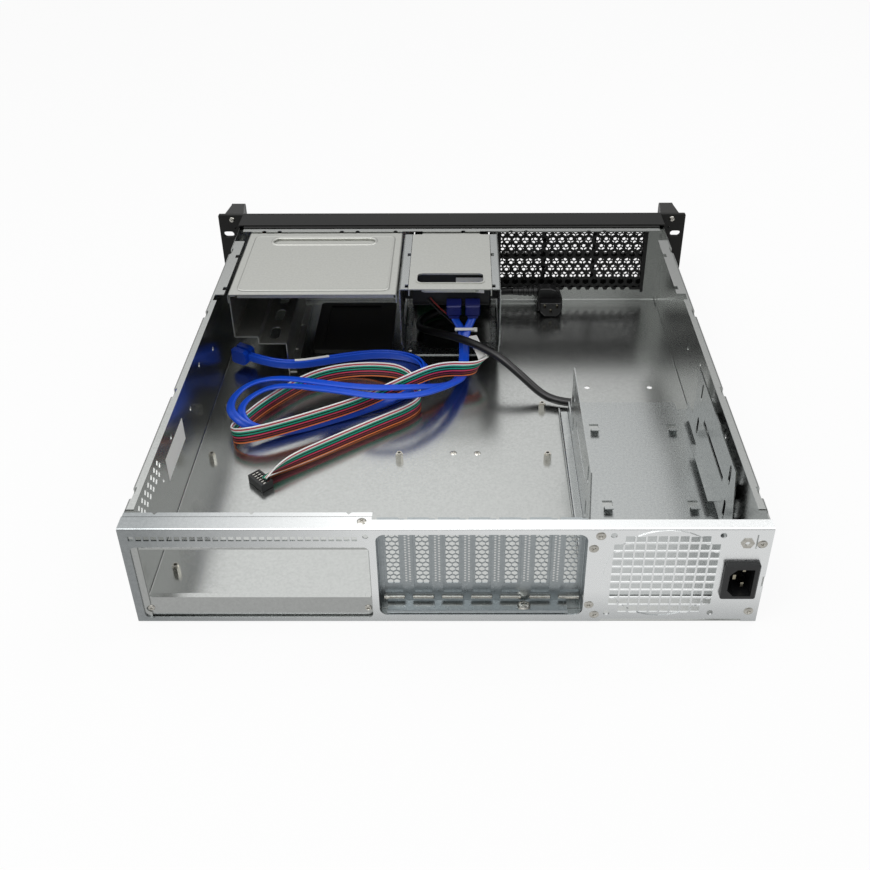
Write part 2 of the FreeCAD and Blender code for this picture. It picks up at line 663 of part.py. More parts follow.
def cradle():
    """Folded cradle: base on the floor with a tongue, and two cheeks with a jogged foot."""
    base_z = FLOOR
    joint = 8.0
    line = [(CRADLE_LEFT, CHEEK_TOP), (CRADLE_LEFT, base_z + joint), (CRADLE_LEFT - 7.0, base_z + joint),
            (CRADLE_LEFT - 7.0, base_z), (CRADLE_RIGHT + 3.0, base_z), (CRADLE_RIGHT + 3.0, base_z + 4.5),
            (CRADLE_RIGHT, base_z + 7.5), (CRADLE_RIGHT, CHEEK_TOP)]
    body = folded(line, SHEET, in_xz(ahead(CRADLE_START)), V(0, CRADLE_END - CRADLE_START, 0), 0.5)
    trims = []
    for x0, x1 in ((CRADLE_LEFT - 1, CRADLE_LEFT + 2), (CRADLE_RIGHT - 2, CRADLE_RIGHT + 1)):
        outline = [V(x0, ahead(CHEEK_START), CHEEK_TOP + 1), V(x0, ahead(CHEEK_START - 16), 20.0),
                   V(x0, ahead(0), 20.0), V(x0, ahead(0), CHEEK_TOP + 1)]
        trims.append(prism(outline, V(x1 - x0, 0, 0)))
        trims.append(block(x0, x1, ahead(CHEEK_END), ahead(CRADLE_END + 1), 20.0, CHEEK_TOP + 1))
        trims.extend(cheek_cuts(x0, x1))
        trims.append(block(x0, x1, ahead(105), ahead(178), 38.5, 43.5))
    trims.append(block(CRADLE_LEFT - 8, CRADLE_RIGHT + 4, ahead(CRADLE_END - 13.0), ahead(CRADLE_END + 1), 4.5, 21.0))
    trims.extend(hook_openings())
    tongue = round_plate_z(155.0, ahead(CRADLE_END + 4), 96.0, 14.0, 3.0, base_z, base_z + SHEET)
    ledge = block(CRADLE_RIGHT - 6.0, CRADLE_RIGHT - SHEET, ahead(115), ahead(187), 10.0, 10.0 + SHEET)
    body = cut(body, trims)
    return fused([body, tongue, ledge] + list(cradle_hooks()))


# ---------------------------------------------------------------- front wall
def mesh_cells(x0, x1, z0, z1, pitch, web, y0, y1):
    """Staggered hexagonal perforation that fills a rectangle."""
    across = pitch - web
    step = pitch * math.sqrt(3) / 2
    rows = int((z1 - z0 - across) / step) + 1
    for row in range(rows):
        shift = pitch / 2 if row % 2 else 0.0
        columns = int((x1 - x0 - across - shift) / pitch) + 1
        for i in range(columns):
            x = x0 + across / 2 + shift + i * pitch
            z = z0 + across / 2 + 0.6 + row * step
            yield polygon_y(x, z, 6, across, y0, y1, 90.0)


def front_wall():
    """Inner front wall with flanges turned to the rear, bay openings and an air window."""
    y1 = ahead(BODY_D)
    half = HALF_W - SHEET - LAP
    low, high = FLOOR, BODY_H
    profile = [(y1 - WALL_FLANGE + 3.0, low), (y1, low), (y1, high), (y1 - WALL_FLANGE, high)]
    wall = folded(profile, SHEET, in_yz(-half), V(2 * half, 0, 0))
    sides = []
    for side in (-1, 1):
        x0, x1 = sorted((side * half, side * (half - SHEET)))
        sides.append(block(x0, x1, y1 - WALL_FLANGE - 1.0, y1 - SHEET, low + 2.0, high - 14.0))
    trims = [block(MESH_LEFT, MESH_RIGHT, y1 - 3, y1 + 1, MESH_LOW, MESH_TOP)]
    trims.append(block(BAY_OPEN_LEFT, BAY_OPEN_RIGHT, y1 - 3, y1 + 1, BAY_OPEN_LOW, BAY_OPEN_TOP))
    trims.append(block(-41.0, 41.0, y1 - 3, y1 + 1, DOCK_LOW - 2, DOCK_LOW + DOCK_H + 1))
    trims.append(block(-41.0, 41.0, y1 - WALL_FLANGE - 1, y1 + 1, low - 1, DOCK_LOW - 6.0))
    for x in (-188.0, -172.5, -110.0, -94.0, -56.0, 12.0, 60.0, 75.0, 138.0, 154.0):
        trims.append(bar(V(x, y1 - WALL_FLANGE, high - 3), V(0, 0, 1), 2.0, 5, 8))
    for side in (-1, 1):
        x0, x1 = sorted((side * (half - 4.5), side * (half + 1)))
        trims.append(block(x0, x1, y1 - WALL_FLANGE - 1, y1 + 1, high - 3.0, high + 1))
        x0, x1 = sorted((side * (half - 1.5), side * (half + 1)))
        trims.append(block(x0, x1, y1 - WALL_FLANGE - 1, y1 + 1, low - 1, low + 1.5))
    return cut(fused([wall] + sides), trims)


def wall_mesh():
    """Black perforated sheet on the rear face of the wall, over its air window."""
    y1 = ahead(BODY_D) - SHEET - LAP
    sheet = block(MESH_LEFT - MESH_EDGE, MESH_RIGHT + MESH_EDGE, y1 - MESH_SHEET, y1,
                  MESH_LOW - MESH_EDGE, MESH_TOP + MESH_EDGE - 0.6)
    return cut(sheet, list(mesh_cells(MESH_LEFT, MESH_RIGHT, MESH_LOW, MESH_TOP, MESH_PITCH, MESH_WEB, y1 - 3, y1 + 1)))


# ---------------------------------------------------------------- bezel
def window_centres():
    for i in range(3):
        for j in range(2):
            yield WINDOW_FIRST_X + i * WINDOW_PITCH_X, WINDOW_LOW_Z + j * WINDOW_PITCH_Z


def bezel_frame():
    """Black frame between the tub and the front plate: two webs and two sides, lapping the tub."""
    y0, y1 = ahead(BODY_D + LAP), ahead(PLATE_BACK - LAP)
    outer = round_plate_y(0, BEZEL_H / 2, BEZEL_W, BEZEL_H, 1.5, y0, y1)
    inner = round_plate_y(0, BEZEL_H / 2, BEZEL_W - 2 * BEZEL_WALL, BEZEL_H - 2 * BEZEL_WALL, 0.6, y0 - 1, y1 + 1)
    lap_low = BODY_H + LAP
    lap = block(-HALF_W + 5, HALF_W - 5, ahead(BODY_D - BEZEL_LAP), ahead(BODY_D + 7), lap_low, lap_low + 0.8)
    return outer.cut(inner).fuse(lap).removeSplitter()


def front_plate():
    """Rack-wide front plate with ears, windows, bay openings and control holes."""
    y0, y1 = ahead(PLATE_BACK), ahead(PLATE_BACK + PLATE_T)
    plate = round_plate_y(0, BEZEL_H / 2, RACK_W, BEZEL_H, 1.2, y0, y1)
    tools = []
    for x, z in window_centres():
        tools.append(clipped_plate_y(x, z, WINDOW_W, WINDOW_H, 1.0, y0 - 1, y1 + 1))
    for sx in (-0.5, 0.5):
        for sz in (-0.5, 0.5):
            z = BEZEL_H / 2 + sz * RACK_HOLE_PITCH_Z
            tools.append(round_plate_y(sx * RACK_HOLE_PITCH_X, z, RACK_SLOT_L, RACK_SLOT_W, RACK_SLOT_W / 2 - 0.01,
                                       y0 - 1, y1 + 1))
        tools.append(bar(V(2 * sx * (HANDLE_X - 1.0), y0 - 1, BEZEL_H - 14.3), V(0, 1, 0), 1.3, PLATE_T + 2, 8))
    tools.append(block(BAY_OPEN_LEFT, BAY_OPEN_RIGHT, y0 - 1, y1 + 1, BAY_OPEN_LOW, BAY_OPEN_TOP + 1.0))
    tools.append(block(-39.5, 39.5, y0 - 1, y1 + 1, DOCK_LOW - 0.5, DOCK_LOW + DOCK_H + 0.5))
    for x, diameter, sides in ((POWER_X, POWER_D, 24), (RESET_X, RESET_D, 16)):
        tools.append(bar(V(x, y0 - 1, CONTROL_Z), V(0, 1, 0), diameter / 2 + FIT, PLATE_T + 2, sides))
    for x in LAMP_XS:
        tools.append(bar(V(x, y0 - 1, CONTROL_Z), V(0, 1, 0), LAMP_D / 2, PLATE_T + 2, 12))
    return cut(plate, tools)


def bezel_mesh():
    """Perforated sheet behind the six windows."""
    y1 = ahead(PLATE_BACK) - LAP
    x0, x1 = WINDOW_FIRST_X - WINDOW_W / 2 - 4, WINDOW_FIRST_X + 2 * WINDOW_PITCH_X + WINDOW_W / 2 + 4
    z0, z1 = WINDOW_LOW_Z - WINDOW_H / 2 - 4, WINDOW_LOW_Z + WINDOW_PITCH_Z + WINDOW_H / 2 + 4
    sheet = block(x0, x1, y1 - 0.8, y1, z0, z1)
    cells = []
    for x, z in window_centres():
        cells.extend(mesh_cells(x - WINDOW_W / 2 + 0.5, x + WINDOW_W / 2, z - WINDOW_H / 2 - 0.6, z + WINDOW_H / 2,
                                15.0, 1.8, y1 - 2, y1 + 1))
    return cut(sheet, cells)


def handle(side):
    """Bow handle: two feet that taper outward, and an upright grip with a rounded section."""
    y0 = ahead(PLATE_BACK + PLATE_T) + LAP
    y1 = y0 + HANDLE_REACH
    x = side * HANDLE_X
    profile = [V(x - HANDLE_PAD_W / 2, y0, 0), V(x + HANDLE_PAD_W / 2, y0, 0),
               V(x + HANDLE_W / 2, y1 - 8, 0), V(x + HANDLE_W / 2, y1, 0),
               V(x - HANDLE_W / 2, y1, 0), V(x - HANDLE_W / 2, y1 - 8, 0)]
    for p in profile:
        p.z = HANDLE_LOW
    bow = prism(profile, V(0, 0, HANDLE_TOP - HANDLE_LOW))
    outer = [e for e in bow.Edges if abs(e.CenterOfMass.y - y1) < 1e-6 and abs(e.tangentAt(e.FirstParameter).z) < 0.5]
    bow = bow.makeFillet(5.0, outer)
    gap_h = HANDLE_TOP - HANDLE_LOW - 2 * HANDLE_BAR
    gap = Part.makeBox(2 * HANDLE_PAD_W, HANDLE_REACH - HANDLE_BAR + 1, gap_h,
                       V(x - HANDLE_PAD_W, y0 - 1, HANDLE_LOW + HANDLE_BAR))
    inner = [e for e in gap.Edges if abs(e.CenterOfMass.y - (y1 - HANDLE_BAR)) < 1e-6
             and abs(e.tangentAt(e.FirstParameter).x) > 0.5]
    gap = gap.makeFillet(6.0, inner)
    return bow.cut(gap)


def handle_screws():
    """Heads behind the rack ears that hold the handles."""
    screws = []
    for side in (-1, 1):
        for z in (HANDLE_LOW + HANDLE_BAR / 2 - 1.5, HANDLE_TOP - HANDLE_BAR / 2 + 1.5):
            x = side * (HANDLE_X + 1.5)
            screws.append(bar(V(x, ahead(PLATE_BACK) - 1.8 - LAP, z), V(0, 1, 0), 2.9, 1.8, 12))
    return screws


# ---------------------------------------------------------------- controls behind the front plate
def push_button(x, diameter, travel, sides):
    """Round cap with an eased rim and a collar that keeps it behind the front plate."""
    back = ahead(PLATE_BACK)
    reach = PLATE_T + travel - 0.5
    rim = 0.5
    outline = ((-5.0, diameter / 2), (-2.2, diameter / 2), (-2.2, diameter / 2 + 1.5), (-0.6, diameter / 2 + 1.5),
               (-0.6, diameter / 2), (reach - rim, diameter / 2), (reach, diameter / 2 - rim))
    return skin([ring_points(V(x, back + y, CONTROL_Z), V(0, 1, 0), radius, sides) for y, radius in outline])


def control_board():
    """Small board with the two switch bodies and lamp holders, on two pillars of the front plate."""
    back = ahead(PLATE_BACK)
    y = back - 14.0
    board = block(-38.0, 30.0, y - 1.6, y, 14.0, 34.0)
    parts = [board]
    for x, travel in ((POWER_X, POWER_TRAVEL), (RESET_X, RESET_TRAVEL)):
        parts.append(block(x - 3.2, x + 3.2, y, back - 5.0 - travel - FIT, CONTROL_Z - 3.2, CONTROL_Z + 3.2))
    for x in LAMP_XS:
        parts.append(block(x - 2.2, x + 2.2, y, back - 1.0, CONTROL_Z - 2.2, CONTROL_Z + 2.2))
    for x in (-35.0, 27.0):
        parts.append(bar(V(x, y, CONTROL_Z), V(0, 1, 0), 2.4, 14.0 - LAP, 8))
    return fused(parts)


def lamp_lenses():
    back = ahead(PLATE_BACK)
    lenses = []
    for x in LAMP_XS:
        lenses.append(bar(V(x, back - 0.9, CONTROL_Z), V(0, 1, 0), LAMP_D / 2 - 0.1, PLATE_T + 1.2, 12))
    return lenses


# ---------------------------------------------------------------- 5.25-inch bay
def optical_cover():
    """Bay cover with a stiffening panel pressed up, a grip recess and edges turned down."""
    y0, y1 = ahead(BAY_REAR), ahead(BAY_FRONT)
    line = [(BAY_LEFT, BAY_TOP - 9.0), (BAY_LEFT, BAY_TOP), (BAY_RIGHT, BAY_TOP), (BAY_RIGHT, BAY_TOP - 9.0)]
    top = folded(line, -SHEET, in_xz(y0), V(0, y1 - y0, 0))
    width, depth = BAY_RIGHT - BAY_LEFT, y1 - y0
    x, y = (BAY_LEFT + BAY_RIGHT) / 2, (y0 + y1) / 2
    panel = round_plate_z(x, y, width - 17.0, depth - 16.0, 5.0, BAY_TOP - 0.5, BAY_TOP + 0.7)
    grip = round_plate_z(x, y1 - 19.0, 100.8, 13.5, 6.5, BAY_TOP - 0.9, BAY_TOP + 2.0)
    dish = round_plate_z(x, y1 - 19.0, 104.0, 16.5, 7.0, BAY_TOP - 1.7, BAY_TOP - 0.7)
    lip = block(BAY_LEFT + 9, BAY_RIGHT - 3, y0, y0 + SHEET, BAY_TOP - 3.5, BAY_TOP - 0.5)
    return fused([top, panel, dish, lip]).cut(grip)


def optical_bracket():
    """Stepped drive rail at the left of the bay, with long holes in its lower step."""
    y0, y1 = ahead(BAY_REAR), ahead(BAY_FRONT)
    outer = BAY_LEFT + SHEET + 0.3
    line = [(outer + 6.0, BAY_TOP - SHEET - LAP), (outer, BAY_TOP - SHEET - LAP), (outer, 39.5), (-179.0, 39.5),
            (-179.0, 32.0), (-153.7, 32.0), (-153.7, FLOOR), (-146.0, FLOOR)]
    rail = folded(line, SHEET, in_xz(y0), V(0, y1 - y0, 0), 0.6)
    tools = []
    for distance in (19.0, 52.0, 85.0):
        tools.append(clipped_plate_z(-166.0, y0 + distance, 9.0, 21.0, 2.6, 30.0, 34.0))
    for distance in (39.0, 84.0):
        tools.append(bar(V(-151.0, y0 + distance, FLOOR - 0.5), V(0, 0, 1), 2.1, 2.0, 8))
    return cut(rail, tools)


def bay_tray():
    """Plate on the floor under the bay with a large sunk rectangle."""
    low = FLOOR
    y = ahead(BAY_FRONT - 43.0)
    plate = clipped_plate_z(-97.0, y, 78.0, 92.0, 3.0, low, low + 2.0)
    window = clipped_plate_z(-99.5, y, 52.0, 79.0, 1.0, low + 0.8, low + 3.0)
    return plate.cut(window)


def bay_blank():
    """Filler plate of the empty bay, set in the front plate."""
    y0 = ahead(PLATE_BACK)
    x, z = (BAY_OPEN_LEFT + BAY_OPEN_RIGHT) / 2, (BAY_OPEN_LOW + BAY_OPEN_TOP + 1.0) / 2
    width, height = BAY_OPEN_RIGHT - BAY_OPEN_LEFT, BAY_OPEN_TOP + 1.0 - BAY_OPEN_LOW
    face = clipped_plate_y(x, z, width - 2 * FIT, height - 2 * FIT, 0.6, y0, y0 + PLATE_T)
    back = block(x - width / 2 + 2, x + width / 2 - 2, y0 - 3.0, y0 + 1.0, z - height / 2 + 2, z + height / 2 - 2)
    clips = [block(x + dx - 4, x + dx + 4, ahead(BODY_D) + 0.3, y0 - 2.0, clip_z, clip_z + 1.6)
             for dx in (-44.0, 44.0) for clip_z in (BAY_OPEN_LOW + 3.5, BAY_OPEN_TOP - 4.0)]
    return fused([face, back] + clips)


# ---------------------------------------------------------------- drive cage
def cage_half():
    return CAGE_W / 2


def drive_cage():
    """Open cage: two side walls with flanges at the top, joined by a foot plate with a curved cut-out."""
    y0, y1 = ahead(CAGE_REAR), ahead(CAGE_FRONT)
    half = cage_half()
    top = BODY_H
    line = [(-half + CAGE_FLANGE, top), (-half, top), (-half, FLOOR), (half, FLOOR), (half, top),
            (half - CAGE_FLANGE, top)]
    body = folded(line, SHEET, in_xz(y0), V(0, y1 - y0, 0))
    inner = half - 7.0
    opening = [V(-inner, y1 + 1, 0), V(-inner, y0 + 46, 0), V(-inner + 10, y0 + 44, 0),
               V(-22.0, y0 + 33, 0), V(6.0, y0 + 33, 0), V(inner - 9, y0 + 44, 0),
               V(inner, y0 + 46, 0), V(inner, y1 + 1, 0)]
    tools = [prism(opening, V(0, 0, 5.0))]
    tools.append(block(-half - 1, half + 1, y0 - 1, ahead(CAGE_FOOT_END), FLOOR - 1, 10.0))
    for side in (-1, 1):
        edge = side * (half - CAGE_FLANGE)
        for distance in (CAGE_REAR + 6.0, CAGE_REAR + 68.0):
            x0, x1 = sorted((edge - side * 1.0, edge + side * 3.0))
            tools.append(block(x0, x1, ahead(distance) - 3, ahead(distance) + 3, top - 2, top + 1))
        x0, x1 = sorted((side * (half - 3), side * (half + 1)))
        tools.append(block(x0, x1, y0 + 40, y1 - 12, 14.0, DOCK_LOW - 8.0))
        tools.append(bar(V(side * 40.0, ahead(CAGE_SCREW), 0), V(0, 0, 1), 1.7, 4.0, 8))
    sloped = [V(-half - 1, y0 - 1, 30.0), V(-half - 1, ahead(CAGE_FOOT_END), 10.0), V(-half - 1, y0 - 1, 9.0)]
    tools.append(prism(sloped, V(2 * half + 2, 0, 0)))
    return cut(body, tools)


def cage_top_plate():
    """Lid of the cage between its flanges: long rounded slot, jogged lip and a hook to the front."""
    half = cage_half() - CAGE_FLANGE - 0.4
    z1 = BODY_H
    z0 = z1 - SHEET
    y0, y1 = ahead(CAGE_REAR), ahead(CAGE_FRONT)
    plate = block(-half, half, y0, y1, z0, z1)
    slot = round_plate_z(0, y0 + 20.6, 61.0, 17.5, 5.0, z0 - 1, z1 + 1)
    rim = round_plate_z(0, y0 + 20.6, 64.0, 20.5, 6.0, z1 - 0.5, z1 + 0.6)
    step = prism([V(-26.0, y0 + 1.0, z0), V(-23.0, y0 - 0.3, z0), V(23.0, y0 - 0.3, z0), V(26.0, y0 + 1.0, z0)],
                 V(0, 0, -2.2))
    flanges = [block(-half, -half + SHEET, y0, y1, z0 - 6.0, z0), block(half - SHEET, half, y0, y1, z0 - 6.0, z0)]
    hook = prism([V(-31.0, y1, z0 - 1.6), V(-28.0, y1 + 6.0, z0 - 1.6), V(28.0, y1 + 6.0, z0 - 1.6),
                  V(31.0, y1, z0 - 1.6)], V(0, 0, SHEET))
    riser = block(-31.0, 31.0, y1 - SHEET, y1, z0 - 1.6, z0)
    return fused([plate, rim, step, hook, riser] + flanges).cut(slot)


def dock_housing():
    """Closed drive dock between the cage walls; its front face fills the front plate's opening."""
    half = cage_half() - CAGE_FLANGE - 0.5
    z1 = DOCK_LOW + DOCK_H - 3.0
    shell = block(-half + SHEET, half - SHEET, ahead(DOCK_REAR), ahead(PLATE_BACK), DOCK_LOW, z1)
    ribs = [block(-half + 1, half - 1, ahead(DOCK_REAR - 1.2), ahead(DOCK_REAR), z, z + 1.6)
            for z in (DOCK_LOW, DOCK_LOW + 16.0, z1 - 1.6)]
    face = block(-half, half, ahead(PLATE_BACK) - 1.0, ahead(PLATE_BACK + PLATE_T), DOCK_LOW, DOCK_LOW + DOCK_H)
    groove = block(-half - 1, half + 1, ahead(PLATE_BACK + PLATE_T) - 0.8, ahead(PLATE_BACK + PLATE_T) + 1,
                   DOCK_LOW + DOCK_H / 2 - 0.4, DOCK_LOW + DOCK_H / 2 + 0.4)
    ears = [block(x0, x1, ahead(DOCK_REAR + 6), ahead(CAGE_FRONT - 4), DOCK_LOW + 3, DOCK_LOW + 4.2)
            for x0, x1 in ((-cage_half() + SHEET + LAP, -half + 2), (half - 2, cage_half() - SHEET - LAP))]
    return fused([shell, face] + ribs + ears).cut(groove)


def dock_label():
    """Bare sticker on the rear of the dock."""
    y1 = ahead(DOCK_REAR - 1.2) - 0.02
    corners = ((5.0, 16.0), (32.0, 13.0), (32.0, 30.0), (5.0, 30.0))
    return prism([V(x, y1, DOCK_LOW + rise) for x, rise in corners], V(0, -0.2, 0))


# ---------------------------------------------------------------- small hardware
def board_standoffs():
    """Hexagonal standoffs of the main board with tapped bores, standing on the floor."""
    posts = []
    for dx, dy in STANDOFFS:
        x, y = BOARD_LEFT + dx, ahead(BOARD_REAR + dy)
        radius = STANDOFF_AF / 2 / math.cos(math.pi / 6)
        corners = [V(x + radius * math.cos(math.pi * k / 3), y + radius * math.sin(math.pi * k / 3), SHEET)
                   for k in range(6)]
        post = prism(corners, V(0, 0, STANDOFF_H - 1.2))
        collar = bar(V(x, y, SHEET + STANDOFF_H - 1.2), V(0, 0, 1), 2.3, 1.2)
        posts.append(fused([post, collar]).cut(rod(V(x, y, SHEET + 2.0), V(0, 0, 1), 1.3, STANDOFF_H)))
    return posts


def rear_screws():
    """Countersunk screws of the rear panel, as low domes on its face."""
    heads = []
    for x, z in rear_screw_places():
        heads.append(head(V(x, ahead(0) - LAP, z), V(0, -1, 0), 3.4, 2.4, 0.7))
    for x, z in ((-204.6, 12.0), (-54.0, 12.0)):
        y = ahead(2 * SHEET + 2 * LAP)
        heads.append(head(V(x, y, z), V(0, -1, 0), 2.6, 2.0, 1.0))
    heads.append(head(V(-55.0, ahead(7.7), BODY_H + LAP), V(0, 0, 1), 3.2, 2.2, 0.8))
    return heads


def ledge_screw():
    """Large dome-head screw on the slot frame's ledge."""
    centre = V(54.0, ahead(6.3), 4.4)
    radius = 7.0
    rings = []
    for rise in (4.6, 5.6, 6.3, 6.8):
        rings.append(ring_points(centre + V(0, 0, rise), V(0, 0, 1), math.sqrt(radius ** 2 - rise ** 2), 16))
    keep = block(46.0, 62.0, ahead(2.2), ahead(11.0), 9.2, 13.0)
    return skin(rings).common(keep)


def cage_screws():
    """Screws of the cage's foot plate."""
    return [head(V(side * 40.0, ahead(CAGE_SCREW), FLOOR + SHEET + LAP), V(0, 0, 1), 2.8, 2.0, 1.2)
            for side in (-1, 1)]


def side_label():
    """Bare sticker inside the left wall."""
    x = -HALF_W + SHEET + 0.02
    return block(x, x + 0.2, ahead(111.0), ahead(165.0), 35.0, 55.5)


# ---------------------------------------------------------------- leads
def arc_radii(points):
    """Radius of each arc: 0.45 of the shorter run beside it over the tangent of half the turn."""
    radii = []
    for a, b, c in zip(points, points[1:], points[2:]):
        turn = (b - a).getAngle(c - b)
        shorter = min((b - a).Length, (c - b).Length)
        radii.append(0.45 * shorter / math.tan(turn / 2))
    return radii


def check_route(name, points, radii, diameter):
    runs = [(b - a).Length for a, b in zip(points, points[1:])]
    turns = [math.degrees((b - a).getAngle(c - b)) for a, b, c in zip(points, points[1:], points[2:])]
    print("%s: runs %.0f to %.0f, turns to %.0f degrees, radii %.0f to %.0f mm (%.1f diameters)" % (
        name, min(runs), max(runs), max(turns), min(radii), max(radii), min(radii) / diameter))


def stations(rows):
    """Places along a rounded route with their tilt and shift: both ends, and three on each arc."""
    points = [V(x, ahead(y), z) for x, y, z, tilt, shift in rows]
    radii = arc_radii(points)
    found = [(points[0],) + rows[0][3:]]
    for i in range(1, len(points) - 1):
        corner = points[i]
        a = (points[i - 1] - corner).normalize()
        b = (points[i + 1] - corner).normalize()
        half = a.getAngle(b) / 2
        reach = radii[i - 1] / math.tan(half)
        middle = (a + b).normalize()
        middle_at = corner + middle * (radii[i - 1] / math.sin(half) - radii[i - 1])
        turned = []
        for neighbour in (i - 1, i + 1):
            share = reach / (points[neighbour] - corner).Length
            turned.append(tuple(rows[i][k] + share * (rows[neighbour][k] - rows[i][k]) for k in (3, 4)))
        found.append((corner + a * reach,) + turned[0])
        found.append((middle_at,) + rows[i][3:])
        found.append((corner + b * reach,) + turned[1])
    found.append((points[-1],) + rows[-1][3:])
    return found, points, radii


def swept(places, section, overshoot=0.0):
    """Closed skin of flat facets that carries a section of (broad, thin) points through stations.

    A tilt of 90 stands a flat lead on edge, and the shift moves it out of the route along its thin
    side, so that two leads can share one."""
    rings = []
    last = len(places) - 1
    for i, (at, tilt, shift) in enumerate(places):
        along = (places[min(i + 1, last)][0] - places[max(i - 1, 0)][0]).normalize()
        level = V(0, 0, 1).cross(along).normalize()
        upward = along.cross(level)
        a = math.radians(tilt)
        broad = level * math.cos(a) + upward * math.sin(a)
        thin = level * -math.sin(a) + upward * math.cos(a)
        centre = at + thin * shift + along * (overshoot * ((i == last) - (i == 0)))
        rings.append([centre + broad * b + thin * t for b, t in section])
    return skin(rings)


def strip(places, width, thickness, overshoot=0.0):
    """Flat lead or sleeve through stations."""
    w, t = width / 2, thickness / 2
    return swept(places, ((w, t), (-w, t), (-w, -t), (w, -t)), overshoot)


def tube(name, rows, diameter, sides):
    """Round lead: straight runs joined by tangent arcs, in flat facets that keep its cross-section's area."""
    places, points, radii = stations([row + (0.0, 0.0) for row in rows])
    check_route(name, points, radii, diameter)
    radius = diameter / 2 * math.sqrt(2 * math.pi / (sides * math.sin(2 * math.pi / sides)))
    angles = [2 * math.pi * (k + 0.5) / sides for k in range(sides)]
    solid = swept(places, [(radius * math.cos(a), radius * math.sin(a)) for a in angles])
    length = sum((b[0] - a[0]).Length for a, b in zip(places, places[1:]))
    ratio = solid.Volume / (math.pi * diameter ** 2 / 4 * length)
    print("%s: length %.0f mm, volume ratio %.3f, valid %s" % (name, length, ratio, solid.isValid()))
    return solid


def flat_lead(name, rows, width, thickness):
    places, points, radii = stations(rows)
    check_route(name, points, radii, thickness)
    solid = strip(places, width, thickness)
    length = sum((b[0] - a[0]).Length for a, b in zip(places, places[1:]))
    print("%s: length %.0f mm, volume ratio %.3f, valid %s" % (
        name, length, solid.Volume / (width * thickness * length), solid.isValid()))
    return solid


# Rows of a route: x, distance ahead of the rear panel's face, z, tilt, share of the pair's shift.
# Each SATA lead leaves its plug on the dock, goes through the tie and turns left over the ribbon.
SATA_START_A = (
    (3.4, 352.6, 36.8, 0), (7.0, 349.0, 32.4, 0), (10.5, 345.5, 27.0, 0), (11.8, 338.0, 19.5, 0),
    (12.0, 325.0, 12.0, 0), (11.0, 308.0, 7.5, 0), (7.0, 290.0, 7.0, 0), (-3.0, 272.0, 13.5, 0),
    (-19.0, 256.0, 23.0, 0), (-40.0, 245.0, 30.0, 0), (-66.0, 241.0, 32.0, 0), (-92.0, 246.0, 31.0, 0),
    (-116.0, 255.0, 28.5, 0), (-139.0, 264.0, 26.0, 5), (-161.0, 268.5, 24.0, 10), (-180.0, 262.0, 22.5, 15),
    (-190.0, 245.0, 22.0, 18), (-191.5, 228.0, 22.2, 20), (-186.0, 214.0, 22.2, 23))
SATA_START_B = (
    (20.6, 352.2, 36.8, 0), (18.6, 348.2, 33.4, 0), (15.5, 343.5, 29.8, 0), (13.8, 336.0, 22.7, 0),
    (13.6, 323.0, 15.5, 0), (13.2, 305.0, 11.0, 0), (10.8, 286.0, 11.6, 0), (3.0, 268.0, 18.5, 0),
    (-8.0, 252.0, 24.0, 0), (-22.0, 238.0, 28.0, 0), (-42.0, 228.5, 31.5, 0), (-67.0, 228.0, 32.5, 0),
    (-92.0, 237.0, 31.0, 0), (-115.0, 246.0, 28.0, 0), (-137.0, 254.0, 25.5, 5), (-157.0, 256.5, 23.5, 10),
    (-172.5, 247.0, 22.0, 20), (-181.0, 231.0, 21.8, 22), (-180.0, 217.0, 20.7, 28))
# The pair lies side by side along the floor, round under the ribbon and past the bay to its free plugs.
SATA_PAIR = (
    (-172.0, 207.5, 15.0, 60, 1), (-154.0, 209.0, 8.0, 85, 1), (-130.0, 218.0, 5.4, 90, 1),
    (-106.0, 230.6, 5.4, 86, 1), (-82.0, 242.2, 5.9, 70, 1), (-61.0, 254.0, 6.1, 40, 1),
    (-44.0, 268.5, 4.4, 6, 1), (-31.0, 285.0, 4.1, 0, 1), (-23.0, 303.0, 5.4, 20, 1),
    (-25.5, 320.0, 6.4, 55, 1), (-40.0, 332.0, 5.6, 83, 1), (-62.0, 338.0, 5.5, 90, 1),
    (-90.0, 334.0, 6.0, 90, 1), (-119.0, 321.5, 8.5, 90, 1), (-146.0, 308.0, 12.3, 90, 1),
    (-171.0, 310.4, 13.4, 90, 1), (-190.0, 320.0, 14.0, 90, 1))
PAIR_SHIFT = 1.75

